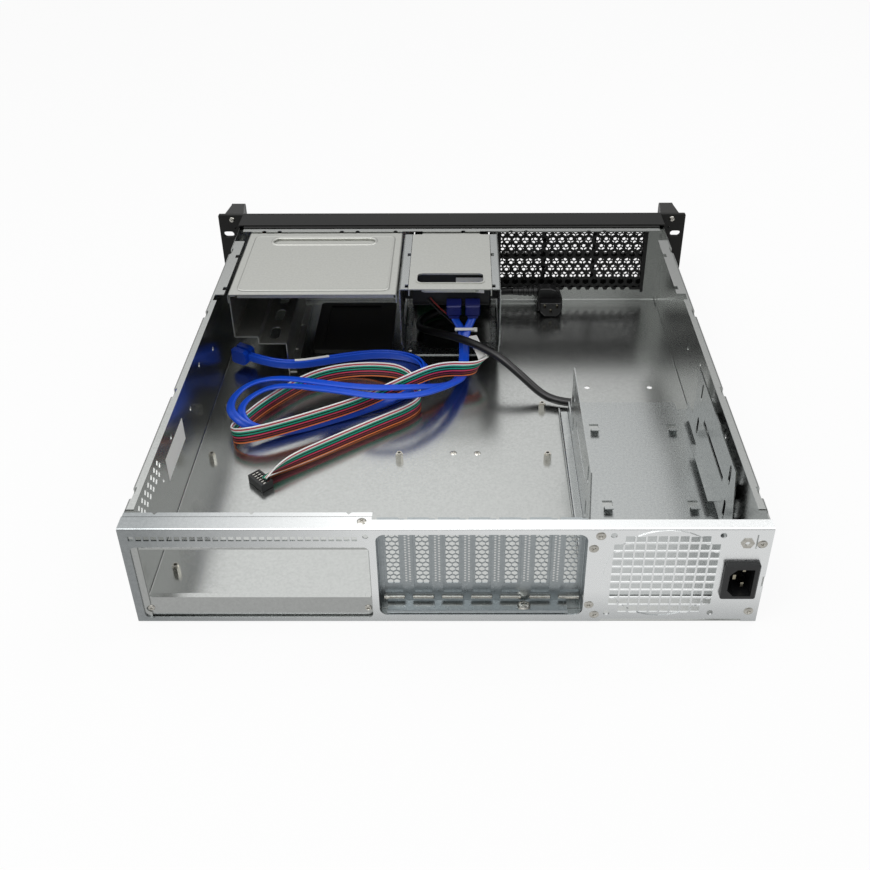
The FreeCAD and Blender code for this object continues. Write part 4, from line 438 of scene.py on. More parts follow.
def length_of(frames):
    return sum((b[0] - a[0]).length for a, b in zip(frames, frames[1:]))


# %% [markdown]
# The two blue leads leave the dock one above the other, swing out to the left over the ribbon, come back
# together along the floor, and end in a pair of plugs beside the drive bay. After the first part both use
# the same corners, each shifted to its own side, so they lie face to face as bundled leads do.

# %% Routes of the leads
SATA_START_A = (
    (3.4, 352.6, 36.8, 0), (7.0, 349.0, 32.4, 0), (10.5, 345.5, 27.0, 0), (11.8, 338.0, 19.5, 0),
    (12.0, 325.0, 12.0, 0), (11.0, 308.0, 7.5, 0), (7.0, 290.0, 7.0, 0), (-3.0, 272.0, 13.5, 0),
    (-19.0, 256.0, 23.0, 0), (-40.0, 245.0, 30.0, 0), (-66.0, 241.0, 32.0, 0), (-92.0, 246.0, 31.0, 0),
    (-116.0, 255.0, 28.5, 0), (-139.0, 264.0, 26.0, 5), (-161.0, 268.5, 24.0, 10), (-180.0, 262.0, 22.5, 15),
    (-190.0, 245.0, 22.0, 18), (-191.5, 228.0, 22.2, 20), (-186.0, 214.0, 22.2, 23))
SATA_START_B = (
    (20.6, 352.2, 36.8, 0), (18.6, 348.2, 33.4, 0), (15.5, 343.5, 29.8, 0), (13.8, 336.0, 22.7, 0),
    (13.6, 323.0, 15.5, 0), (13.2, 305.0, 11.0, 0), (10.8, 286.0, 11.6, 0), (3.0, 268.0, 18.5, 0),
    (-8.0, 252.0, 24.0, 0), (-22.0, 238.0, 28.0, 0), (-42.0, 228.5, 31.5, 0), (-67.0, 228.0, 32.5, 0),
    (-92.0, 237.0, 31.0, 0), (-115.0, 246.0, 28.0, 0), (-137.0, 254.0, 25.5, 5), (-157.0, 256.5, 23.5, 10),
    (-172.5, 247.0, 22.0, 20), (-181.0, 231.0, 21.8, 22), (-180.0, 217.0, 20.7, 28))
SATA_PAIR = (
    (-172.0, 207.5, 15.0, 60, 1), (-154.0, 209.0, 8.0, 85, 1), (-130.0, 218.0, 5.4, 90, 1),
    (-106.0, 230.6, 5.4, 86, 1), (-82.0, 242.2, 5.9, 70, 1), (-61.0, 254.0, 6.1, 40, 1),
    (-44.0, 268.5, 4.4, 6, 1), (-31.0, 285.0, 4.1, 0, 1), (-23.0, 303.0, 5.4, 20, 1),
    (-25.5, 320.0, 6.4, 55, 1), (-40.0, 332.0, 5.6, 83, 1), (-62.0, 338.0, 5.5, 90, 1),
    (-90.0, 334.0, 6.0, 90, 1), (-119.0, 321.5, 8.5, 90, 1), (-146.0, 308.0, 12.3, 90, 1),
    (-171.0, 310.4, 13.4, 90, 1), (-190.0, 320.0, 14.0, 90, 1))
PAIR_SHIFT = 1.75
RIBBON_ROUTE = (
    (30.3, 301.0, 22.0, 45, 0), (26.6, 291.8, 20.8, 75, 0), (15.5, 287.5, 20.8, 90, 0), (-1.0, 285.0, 23.0, 90, 0),
    (-17.0, 275.0, 26.4, 90, 0), (-34.0, 261.5, 26.7, 90, 0),
    (-56.0, 250.5, 22.0, 90, 0), (-82.0, 235.0, 18.8, 90, 0), (-111.0, 219.5, 18.0, 90, 0),
    (-139.0, 204.5, 18.0, 90, 0), (-163.0, 194.0, 17.5, 90, 0), (-181.0, 195.0, 13.5, 90, 0),
    (-188.0, 206.0, 9.4, 90, 0), (-180.0, 222.0, 9.2, 90, 0), (-168.0, 244.0, 9.2, 90, 0),
    (-150.0, 268.0, 9.2, 90, 0), (-130.0, 289.0, 9.2, 90, 0), (-108.0, 301.0, 9.2, 90, 0),
    (-82.0, 305.0, 9.6, 90, 0), (-61.0, 299.5, 12.5, 90, 0), (-46.0, 289.5, 16.6, 90, 0),
    (-34.5, 277.0, 17.2, 90, 0), (-28.0, 264.5, 10.8, 90, 0), (-25.5, 251.0, 9.3, 90, 0),
    (-36.0, 237.5, 9.2, 90, 0), (-56.0, 223.5, 9.2, 90, 0),
    (-80.0, 206.0, 9.2, 90, 0), (-105.0, 187.0, 9.2, 90, 0), (-128.0, 170.0, 9.2, 85, 0), (-143.0, 157.5, 8.4, 60, 0),
    (-152.0, 148.5, 7.2, 25, 0))
MAINS_ROUTE = (
    (62.6, 433.0, 21.0), (45.0, 436.6, 19.0), (24.0, 433.0, 13.0), (-4.0, 421.0, 8.0), (-28.0, 404.0, 7.5),
    (-34.0, 380.0, 9.5), (-16.0, 353.0, 20.5), (12.0, 321.0, 32.5), (42.0, 294.5, 33.0), (65.0, 276.5, 20.5),
    (83.0, 264.0, 8.5), (98.0, 256.5, 6.3), (108.5, 254.8, 6.4))
EARTH_ROUTE = ((198.7, 5.5, 72.0), (197.5, 11.0, 66.0), (199.5, 18.0, 59.0), (201.0, 27.0, 52.5), (198.5, 33.0, 47.0))
THIN_WIRES = (
    ((-20.0, 365.1, 52.0), (-14.5, 362.8, 46.0), (-7.0, 360.2, 39.5), (1.0, 357.0, 33.5), (8.0, 353.2, 28.2),
     (13.8, 349.0, 23.0), (19.0, 342.8, 22.8), (20.6, 335.4, 25.4)),
    ((-23.0, 365.1, 50.0), (-17.0, 362.6, 43.8), (-9.3, 360.0, 37.3), (-1.3, 357.0, 31.3), (6.0, 353.4, 26.0),
     (12.2, 349.2, 21.0), (17.3, 343.2, 20.8), (20.6, 335.8, 23.4)))


def sata_rows(start, side):
    """One lead's rows, with its own side of the shared corners."""
    return [row + (0.0,) for row in start] + [row[:4] + (side * row[4],) for row in SATA_PAIR]


# %% [markdown]
# Sections are what make flat leads read as themselves. A data lead is a flat oval with a shallow groove
# between its two pairs of wires. A ribbon is twelve bumps in a row on both sides, so light catches each wire.

# %% Sections and skins of the leads
SATA_SECTION = [(4.0, 0.0), (3.75, 0.7), (3.2, 1.05), (1.2, 1.12), (0.35, 0.98), (-0.35, 0.98), (-1.2, 1.12),
                (-3.2, 1.05), (-3.75, 0.7)]
SATA_SECTION += [(-u, -v) for u, v in SATA_SECTION]
WIRES = 12
WIRE_PITCH = 1.3


def ribbon_section():
    """Twelve round wires side by side: four points on each wire's top, then the same below."""
    upper = []
    for wire in range(WIRES):
        centre = (WIRES / 2 - 0.5 - wire) * WIRE_PITCH
        for degrees in (25, 65, 115, 155):
            a = math.radians(degrees)
            upper.append((centre + WIRE_PITCH / 2 * math.cos(a), WIRE_PITCH / 2 * math.sin(a)))
    return upper + [(-u, -v) for u, v in upper]


def ring(radius, sides):
    return [(radius * math.cos(2 * math.pi * k / sides), radius * math.sin(2 * math.pi * k / sides))
            for k in range(sides)]


leads = {}
for letter, start, side in (("a", SATA_START_A, PAIR_SHIFT), ("b", SATA_START_B, -PAIR_SHIFT)):
    line = flat_line(sata_rows(start, side), 6)
    leads["data_lead_" + letter] = (clothe("data_lead_" + letter, line, SATA_SECTION, BLUE_PVC), line)
line = flat_line(RIBBON_ROUTE, 6)
leads["panel_ribbon"] = (clothe("panel_ribbon", line, ribbon_section(), RIBBON_PVC, 80), line)
line = round_line(tuple(reversed(MAINS_ROUTE)), 8)
leads["supply_lead"] = (clothe("supply_lead", line, ring(3.7, 20), BLACK_PVC), line)
line = round_line(EARTH_ROUTE, 8)
leads["earth_lead"] = (clothe("earth_lead", line, ring(1.3, 12), EARTH_PVC), line)
for number, rows in enumerate(THIN_WIRES):
    line = round_line(rows, 6)
    name = "dock_wire_%d" % (number + 1)
    leads[name] = (clothe(name, line, ring(0.75, 8), (WIRE_RED, BLACK_PVC)[number]), line)
for name, (made, line) in leads.items():
    print(name, "length %.0f mm" % (length_of(line) / MM), len(made.data.polygons), "faces")

# %% [markdown]
# A lead ends in something moulded. The power connector is a nose and a taller body with rounded edges, made
# from outlines and a Bevel modifier, with three slots cut by a Boolean and a brass contact deep in each. Its
# strain relief is a turned row of ribs. The ribbon's header is a low shell with crimped contacts in its
# windows. The data lead's label is a short skin on one lead, made by the same function as the lead itself.

# %% Power connector


def join(name, pieces):
    """One mesh of several pieces, each with its own finish."""
    shape = bmesh.new()
    mesh = bpy.data.meshes.new(name)
    finishes = []
    for piece in pieces:
        first = len(shape.faces)
        shape.from_mesh(piece.data)
        shape.faces.ensure_lookup_table()
        for face in shape.faces[first:]:
            own = piece.data.materials[min(face.material_index, len(piece.data.materials) - 1)]
            if own not in finishes:
                finishes.append(own)
            face.material_index = finishes.index(own)
    shape.to_mesh(mesh)
    shape.free()
    for finish in finishes:
        mesh.materials.append(finish)
    for piece in pieces:
        bpy.data.objects.remove(piece)
    made = bpy.data.objects.new(name, mesh)
    bpy.context.scene.collection.objects.link(made)
    return made


def closed_mesh(name, shape, finish, smooth=False):
    """Makes an object of a built closed shape, with its faces outward."""
    bmesh.ops.recalc_face_normals(shape, faces=shape.faces)
    mesh = bpy.data.meshes.new(name)
    shape.to_mesh(mesh)
    shape.free()
    for polygon in mesh.polygons:
        polygon.use_smooth = smooth
    mesh.materials.append(finish)
    made = bpy.data.objects.new(name, mesh)
    bpy.context.scene.collection.objects.link(made)
    return made


def block_between(shape, start, sides):
    """Adds to shape a box from a corner along three vectors."""
    corners = [shape.verts.new(start + sides[0] * a + sides[1] * b + sides[2] * c)
               for a in (0, 1) for b in (0, 1) for c in (0, 1)]
    for quad in ((0, 1, 3, 2), (4, 6, 7, 5), (0, 4, 5, 1), (2, 3, 7, 6), (0, 2, 6, 4), (1, 5, 7, 3)):
        shape.faces.new([corners[i] for i in quad])


def prism_along(shape, outline, near, deep):
    """Adds to shape a prism with an outline of (x, z) millimetres, from near to near + deep ahead of the rear."""
    first, last = [[shape.verts.new(at(x, y, z)) for x, z in outline] for y in (near, near + deep)]
    shape.faces.new(first)
    shape.faces.new(last[::-1])
    for k in range(len(outline)):
        n = (k + 1) % len(outline)
        shape.faces.new((first[k], last[k], last[n], first[n]))


def applied(made):
    """The object with its modifiers turned into plain mesh."""
    bpy.context.view_layer.update()
    mesh = bpy.data.meshes.new_from_object(made.evaluated_get(bpy.context.evaluated_depsgraph_get()))
    made.modifiers.clear()
    made.data = mesh
    return made


def rounded(made, width_mm, segments=3):
    edge = made.modifiers.new("edge", "BEVEL")
    edge.width = width_mm * MM
    edge.segments = segments
    edge.limit_method = "ANGLE"
    return made


plug_low, plug_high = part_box("mains_plug")
PLUG_RIGHT, PLUG_TOP = plug_high.x / MM, plug_high.z / MM
PLUG_NEAR = (plug_low.y - REAR * MM) / MM
SLOTS_AT = ((-19.8, 14.0), (-7.2, 14.0), (-13.5, 8.6))     # across from the right side, height


def power_connector():
    """Nose, body, contacts and ribbed strain relief."""
    nose, body, cutter, brass, relief = [bmesh.new() for _ in range(5)]
    r = PLUG_RIGHT
    prism_along(nose, [(r - 24.6, 17.6), (r - 2.4, 17.6), (r - 2.4, 7.6), (r - 7.4, 2.1), (r - 19.6, 2.1), (r - 24.6, 7.6)],
                PLUG_NEAR, 15.0)
    arch = [(r - 26.8, 2.1), (r - 26.8, 26.6), (r - 24.0, 28.6), (r - 14.0, 28.6), (r - 8.0, 26.4), (r - 3.6, 22.0), (r - 1.0, 15.0),
            (r - 0.6, 2.1)]
    prism_along(body, arch, PLUG_NEAR + 10.5, 11.6)
    for x, z in SLOTS_AT:
        block_between(cutter, at(r + x - 1.3, PLUG_NEAR - 1.0, z - 2.3), (Vector((2.6, 0, 0)) * MM, Vector((0, 8, 0)) * MM, Vector((0, 0, 4.6)) * MM))
        block_between(brass, at(r + x - 0.9, PLUG_NEAR + 3.0, z - 1.8), (Vector((1.8, 0, 0)) * MM, Vector((0, 2, 0)) * MM, Vector((0, 0, 3.6)) * MM))
    profile = [(26.0, 5.2)]
    for rib in range(4):
        start = 28.4 + rib * 5.2
        profile += [(start - 1.0, 5.3 - 0.25 * rib), (start + 2.0, 5.3 - 0.25 * rib), (start + 2.5, 4.0), (start + 3.6, 4.0)]
    profile += [(52.2, 4.0)]
    rings = [[relief.verts.new(at(r - back, PLUG_NEAR + 20.0, 21.0) + Vector((0, math.cos(a) * width, math.sin(a) * width)) * MM)
              for a in (2 * math.pi * k / 24 for k in range(24))] for back, width in profile]
    for one, two in zip(rings, rings[1:]):
        for k in range(24):
            n = (k + 1) % 24
            relief.faces.new((one[k], two[k], two[n], one[n]))
    relief.faces.new(rings[0][::-1])
    relief.faces.new(rings[-1])
    nose = applied(rounded(closed_mesh("nose", nose, BLACK_PVC), 1.1))
    slots = closed_mesh("slots", cutter, BLACK_PVC)
    cut = nose.modifiers.new("slots", "BOOLEAN")
    cut.object = slots
    nose = applied(nose)
    bpy.data.objects.remove(slots)
    body = applied(rounded(closed_mesh("body", body, BLACK_PVC), 2.2, 4))
    for piece in (nose, body):
        piece.data.materials.clear()
        piece.data.materials.append(BLACK_PVC)
    relief = closed_mesh("relief", relief, BLACK_PVC)
    return join("power_connector", [nose, body, relief, closed_mesh("contacts", brass, BRASS)])


connector = power_connector()
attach(connector, "case")
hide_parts("mains_plug")
print("power connector", len(connector.data.polygons), "faces")

# %% Ribbon header and lead label
HEADER_LONG, HEADER_HALF, HEADER_TALL = 11.0, 9.6, 7.0


def header():
    """Low black shell at the ribbon's end, with two rows of crimped contacts in windows in its top."""
    line = leads["panel_ribbon"][1]
    along = (line[-1][0] - line[-3][0])
    along.z = 0
    along.normalize()
    level, up = Vector((0, 0, 1)).cross(along).normalized(), Vector((0, 0, 1))
    start = line[-1][0] - along * (4.0 * MM)
    start.z = 1.4 * MM
    shell, metal = bmesh.new(), bmesh.new()
    side = level * (2 * HEADER_HALF * MM)
    block_between(shell, start - side / 2, (along * (HEADER_LONG * MM), side, up * ((HEADER_TALL - 1.2) * MM)))
    block_between(shell, start - side / 2 + up * ((HEADER_TALL - 1.2) * MM), (along * (1.6 * MM), side, up * (1.2 * MM)))
    block_between(shell, start - side / 2 + up * ((HEADER_TALL - 1.2) * MM) + along * ((HEADER_LONG - 2.2) * MM),
                  (along * (2.2 * MM), side, up * (1.2 * MM)))
    for k in range(7):
        rib = start + level * ((-HEADER_HALF + k * (2 * HEADER_HALF - 0.9) / 6) * MM) + up * ((HEADER_TALL - 1.2) * MM) + along * (1.6 * MM)
        block_between(shell, rib, (along * ((HEADER_LONG - 3.8) * MM), level * (0.9 * MM), up * (1.2 * MM)))
    for k in range(6):
        for row in (2.2, 5.6):
            tongue = start + level * ((-HEADER_HALF + 1.3 + k * (2 * HEADER_HALF - 0.9) / 6) * MM) + along * (row * MM)
            tongue += up * ((HEADER_TALL - 1.3) * MM)
            block_between(metal, tongue, (along * (2.4 * MM), level * (1.5 * MM), up * (0.7 * MM)))
    shell = closed_mesh("shell", shell, INLET_PLASTIC)
    return join("ribbon_end_header", [shell, closed_mesh("crimps", metal, SCREW_STEEL)])


def lead_label():
    """White skin round the lead that lies behind the other, where both run level past the bay."""
    low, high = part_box("sata_band")
    middle = (low + high) / 2
    line = leads["data_lead_a"][1]
    nearest = min(range(len(line)), key=lambda i: (line[i][0] - middle).length)
    part = line[max(0, nearest - 8):nearest + 9]
    part = [f for f in part if abs((f[0] - middle).x) < 17.0 * MM]
    section = [(u * 1.06, v * 1.3) for u, v in SATA_SECTION]
    made = clothe("lead_label", part, section, WHITE_SLEEVE)
    print("lead label", "%.0f mm" % (length_of(part) / MM))
    return made


ribbon_end = header()
label = lead_label()
for piece, node in ((ribbon_end, "ribbon_header"), (label, "sata_band")):
    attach(piece, "case")
    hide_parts(node)

# %% [markdown]
# Each lead is attached to the case, and the imported node that it replaces, if there is one, is hidden.


def declare(name, node):
    made, line = leads[name]
    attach(made, "case")
    if node:
        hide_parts(node)


declare("data_lead_a", "sata_lead_a")
declare("data_lead_b", "sata_lead_b")
declare("panel_ribbon", "ribbon_lead")
declare("supply_lead", "mains_lead")
declare("earth_lead", "earth_wire")
declare("dock_wire_1", "dock_wires")
declare("dock_wire_2", None)

# %% [markdown]
# A punched field is one cell repeated in staggered rows. The node tree lays out a grid of points, shifts every
# second row by half a pitch, drops what lies outside a half width, and puts a copy of the cell on each point.
# The cell is a hexagonal ring: its outer edge meets its neighbours, and its inner edge is the hole.

# %% Geometry Nodes: punched field


def input_socket(tree, name, kind):
    return tree.interface.new_socket(name, in_out="INPUT", socket_type=kind).identifier


def punched_field_tree():
    """Node tree of a staggered grid of cells in the XZ plane, and the identifiers of its inputs."""
    tree = bpy.data.node_groups.new("punched_field", "GeometryNodeTree")
    kinds = (("Cell", "NodeSocketObject"), ("Finish", "NodeSocketMaterial"), ("Columns", "NodeSocketInt"),
             ("Rows", "NodeSocketInt"), ("Pitch", "NodeSocketFloat"), ("Row pitch", "NodeSocketFloat"),
             ("Half width", "NodeSocketFloat"), ("Centre", "NodeSocketVector"))
    ids = {name: input_socket(tree, name, kind) for name, kind in kinds}
    tree.interface.new_socket("Geometry", in_out="OUTPUT", socket_type="NodeSocketGeometry")
    given = add(tree, "NodeGroupInput").outputs

    def calc(operation, first, second):
        made = add(tree, "ShaderNodeMath", [("operation", operation)])
        for place, value in ((0, first), (1, second)):
            if isinstance(value, (int, float)):
                made.inputs[place].default_value = value
            else:
                tree.links.new(value, made.inputs[place])
        return made.outputs["Value"]

    width = calc("MULTIPLY", calc("SUBTRACT", given["Columns"], 1), given["Pitch"])
    height = calc("MULTIPLY", calc("SUBTRACT", given["Rows"], 1), given["Row pitch"])
    grid = add(tree, "GeometryNodeMeshGrid", (), [("Size X", width), ("Size Y", height),
                                                  ("Vertices X", given["Columns"]), ("Vertices Y", given["Rows"])])
    place = add(tree, "ShaderNodeSeparateXYZ", (), [("Vector", add(tree, "GeometryNodeInputPosition").outputs[0])])
    row = calc("MODULO", add(tree, "GeometryNodeInputIndex").outputs[0], given["Rows"])
    shift = calc("MULTIPLY", calc("MODULO", row, 2), calc("MULTIPLY", given["Pitch"], 0.5))
    x = calc("ADD", place.outputs["X"], shift)
    upright = add(tree, "ShaderNodeCombineXYZ", (), [("X", x), ("Z", place.outputs["Y"])])
    moved = add(tree, "GeometryNodeSetPosition", (), [("Geometry", grid.outputs["Mesh"]),
                                                      ("Position", upright.outputs[0])])
    now = add(tree, "ShaderNodeSeparateXYZ", (), [("Vector", add(tree, "GeometryNodeInputPosition").outputs[0])])
    outside = calc("GREATER_THAN", calc("ABSOLUTE", now.outputs["X"], 0), given["Half width"])
    kept = add(tree, "GeometryNodeDeleteGeometry", [("domain", "POINT")],
               [("Geometry", moved.outputs["Geometry"]), ("Selection", outside)])
    placed = add(tree, "GeometryNodeSetPosition", (), [("Geometry", kept.outputs["Geometry"]),
                                                       ("Offset", given["Centre"])])
    cell = add(tree, "GeometryNodeObjectInfo", (), [("Object", given["Cell"])])
    copies = add(tree, "GeometryNodeInstanceOnPoints", (), [("Points", placed.outputs["Geometry"]),
                                                            ("Instance", cell.outputs["Geometry"])])
    solid = add(tree, "GeometryNodeRealizeInstances", (), [("Geometry", copies.outputs["Instances"])])
    painted = add(tree, "GeometryNodeSetMaterial", (), [("Geometry", solid.outputs["Geometry"]),
                                                        ("Material", given["Finish"])])
    add(tree, "NodeGroupOutput", (), [("Geometry", painted.outputs["Geometry"])])
    return tree, ids


FIELD_TREE, FIELD_IDS = punched_field_tree()


def hex_cell(pitch, web, thickness):
    """Hexagonal ring in the XZ plane: front, back and the wall of the hole."""
    mesh = bpy.data.meshes.new("hex_cell")
    shape = bmesh.new()
    rings = []
    for flat, y in ((pitch, -0.5), (pitch - web, -0.5), (pitch - web, 0.5), (pitch, 0.5)):
        radius = flat / 2 / math.cos(math.pi / 6)
        rings.append([shape.verts.new((radius * math.sin(math.pi * k / 3) * MM, y * thickness * MM,
                                       radius * math.cos(math.pi * k / 3) * MM)) for k in range(6)])
    for first, second in zip(rings, rings[1:]):
        for k in range(6):
            n = (k + 1) % 6
            shape.faces.new((first[k], first[n], second[n], second[k]))
    shape.to_mesh(mesh)
    shape.free()
    return mesh


def apply_tree(name, base, tree, values):
    """Runs a tree on a mesh and returns its plain result as a new object."""
    holder = bpy.data.objects.new(name + "_maker", base)
    bpy.context.scene.collection.objects.link(holder)
    maker = holder.modifiers.new("maker", "NODES")
    maker.node_group = tree
    for identifier, value in values.items():
        maker[identifier] = value
    bpy.context.view_layer.update()
    mesh = bpy.data.meshes.new_from_object(holder.evaluated_get(bpy.context.evaluated_depsgraph_get()))
    mesh.name = name
    holder.modifiers.remove(maker)
    bpy.data.objects.remove(holder)
    made = bpy.data.objects.new(name, mesh)
    bpy.context.scene.collection.objects.link(made)
    return made


def punched_field(name, pitch, web, thickness, columns, rows, centre, finish, half_width=1e3):
    """Staggered hexagonal perforation about a centre (x, y, z) in metres."""
    cell = bpy.data.objects.new("cell", hex_cell(pitch, web, thickness))
    bpy.context.scene.collection.objects.link(cell)
    values = {"Cell": cell, "Finish": finish, "Columns": columns, "Rows": rows, "Pitch": pitch * MM,
              "Row pitch": pitch * MM * math.sqrt(3) / 2, "Half width": half_width * MM, "Centre": tuple(centre)}
    made = apply_tree(name, bpy.data.meshes.new("empty"), FIELD_TREE, {FIELD_IDS[k]: v for k, v in values.items()})
    bpy.data.objects.remove(cell)
    shape = bmesh.new()
    shape.from_mesh(made.data)
    bmesh.ops.remove_doubles(shape, verts=shape.verts, dist=0.02 * MM)
    shape.to_mesh(made.data)
    shape.free()
    print(name, len(made.data.polygons), "faces")
    return made


# %% [markdown]
# Sheet parts that are rebuilt here are plain plates with windows. One helper takes a plate's outline and its
# windows as rectangles, splits the plate at every edge, and keeps the cells that no window covers.

# %% Plates with windows


def plate_boxes(shape, x_range, z_range, y_range, windows=()):
    """Adds to shape a plate in the XZ plane, in millimetres, cut by rectangular windows (x0, x1, z0, z1)."""
    xs = sorted({*x_range, *(v for w in windows for v in w[:2])})
    zs = sorted({*z_range, *(v for w in windows for v in w[2:])})
    for x0, x1 in zip(xs, xs[1:]):
        for z0, z1 in zip(zs, zs[1:]):
            x, z = (x0 + x1) / 2, (z0 + z1) / 2
            if not any(w[0] < x < w[1] and w[2] < z < w[3] for w in windows):
                box(shape, (x0, x1), y_range, (z0, z1))


def box(shape, xs, ys, zs):
    """Adds a closed box to shape; y counts ahead of the rear panel."""
    corners = [shape.verts.new((x * MM, ahead(y), z * MM)) for x in xs for y in ys for z in zs]
    for quad in ((0, 1, 3, 2), (4, 6, 7, 5), (0, 4, 5, 1), (2, 3, 7, 6), (0, 2, 6, 4), (1, 5, 7, 3)):
        shape.faces.new([corners[i] for i in quad])


def plate(shape, outline, ys):
    """Adds a closed plate with an outline of (x, z) to shape."""
    near, far = [[shape.verts.new((x * MM, ahead(y), z * MM)) for x, z in outline] for y in ys]
    shape.faces.new(near)
    shape.faces.new(far[::-1])
    for k in range(len(outline)):
        n = (k + 1) % len(outline)
        shape.faces.new((near[k], far[k], far[n], near[n]))


def finish_mesh(name, shape, finish, merge=True):
    """Cleans a built shape, drops the faces between touching boxes and makes it an object."""
    if merge:
        bmesh.ops.remove_doubles(shape, verts=shape.verts, dist=0.001 * MM)
        seen = {}
        for face in shape.faces:
            seen.setdefault(frozenset(v.index for v in face.verts), []).append(face)
        doubled = [f for faces in seen.values() if len(faces) > 1 for f in faces]
        bmesh.ops.delete(shape, geom=doubled, context="FACES_ONLY")
    bmesh.ops.recalc_face_normals(shape, faces=shape.faces)
    mesh = bpy.data.meshes.new(name)
    shape.to_mesh(mesh)
    shape.free()
    mesh.materials.append(finish)
    made = bpy.data.objects.new(name, mesh)
    bpy.context.scene.collection.objects.link(made)
    return made

# %% [markdown]
# A black sheet full of hexagons covers the air window of the inner front wall. Its lower edge is cut through a
# row of holes, and the zinc of the wall shows between them as a row of teeth. The webs are thin, so the sheet
# reads as black lace against the finer mesh of the front plate a few centimetres beyond it.

# %% Air window sheet
LACE_PITCH = 9.2
LACE_WEB = 3.0
lace_low, lace_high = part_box("wall_mesh")


def air_window_sheet():
    """Black lace with a plain border, and the wall's teeth along its lower edge."""
    x0, x1, z0, z1 = (v / MM for v in (lace_low.x, lace_high.x, lace_low.z, lace_high.z))
    y0, y1 = ((v - REAR * MM) / MM for v in (lace_low.y, lace_high.y))
    columns, rows = int((x1 - x0) / LACE_PITCH), int((z1 - z0) / (LACE_PITCH * math.sqrt(3) / 2))
    centre = Vector(((x0 + x1) / 2 * MM - LACE_PITCH / 4 * MM, ahead((y0 + y1) / 2), (z0 + z1) / 2 * MM))
    lace = punched_field("wall_lace", LACE_PITCH, LACE_WEB, y1 - y0 - 0.1, columns, rows, centre, MESH_PAINT)
    border = bmesh.new()
    plate_boxes(border, (x0, x1), (z0, z1), (y0, y1), [(x0 + 3.5, x1 - 3.5, z0 + 5.5, z1 - 4.0)])
    border = finish_mesh("lace_border", border, MESH_PAINT)
    teeth = bmesh.new()
    box(teeth, (x0 + 3.0, x1 - 3.0), (y0 - 0.05, y0 + 0.2), (z0, z0 + 3.0))
    for tooth in range(int((x1 - x0 - 6.0) / LACE_PITCH)):
        x = x0 + 3.0 + (tooth + 0.5) * LACE_PITCH
        plate(teeth, [(x - 3.0, z0 + 3.0), (x + 3.0, z0 + 3.0), (x + 1.5, z0 + 6.0), (x - 1.5, z0 + 6.0)],
              (y0 - 0.05, y0 + 0.2))
    teeth = finish_mesh("zinc_teeth", teeth, TUB_STEEL, merge=False)
    return join("air_window_sheet", [border, lace, teeth])


lace_sheet = air_window_sheet()
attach(lace_sheet, "case")
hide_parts("wall_mesh")

# %% [markdown]
# Behind the six windows of the front plate lies one sheet of fine black mesh. From inside the case its holes
# show as bright dots, which is the strongest pattern in the whole view, so the sheet gets its true fine pitch.

# %% Mesh behind the windows
mesh_low, mesh_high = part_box("bezel_mesh")
MESH_PITCH = 4.6


def window_mesh():
    """Fine sheet whose cells stay inside the coarse one."""
    width, height = (mesh_high.x - mesh_low.x) / MM, (mesh_high.z - mesh_low.z) / MM
    columns = int((width - MESH_PITCH) / MESH_PITCH)
    rows = int((height - MESH_PITCH) / (MESH_PITCH * math.sqrt(3) / 2))
    centre = (mesh_low + mesh_high) / 2
    centre.x -= MESH_PITCH / 4 * MM
    return punched_field("fine_window_mesh", MESH_PITCH, 1.3, 0.7, columns, rows, centre, MESH_PAINT)


sheet = window_mesh()
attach(sheet, "case")
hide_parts("bezel_mesh")

# %% [markdown]
# Each expansion slot is closed by a blank: a steel blade that narrows to a tongue below and bends over at the
# top, where a screw holds it. A strip of small hexagons runs down its middle. The strip comes from the same
# node tree, limited to one and a half cells of width so that single and double holes take turns.

# %% Slot blanks
VENT_PITCH = 4.5
VENT_ROWS = 13
HALF_WEB = 0.28
VENT_STEP = VENT_PITCH * math.sqrt(3) / 2
VENT_FIRST = 26.0     # middle of the lowest row


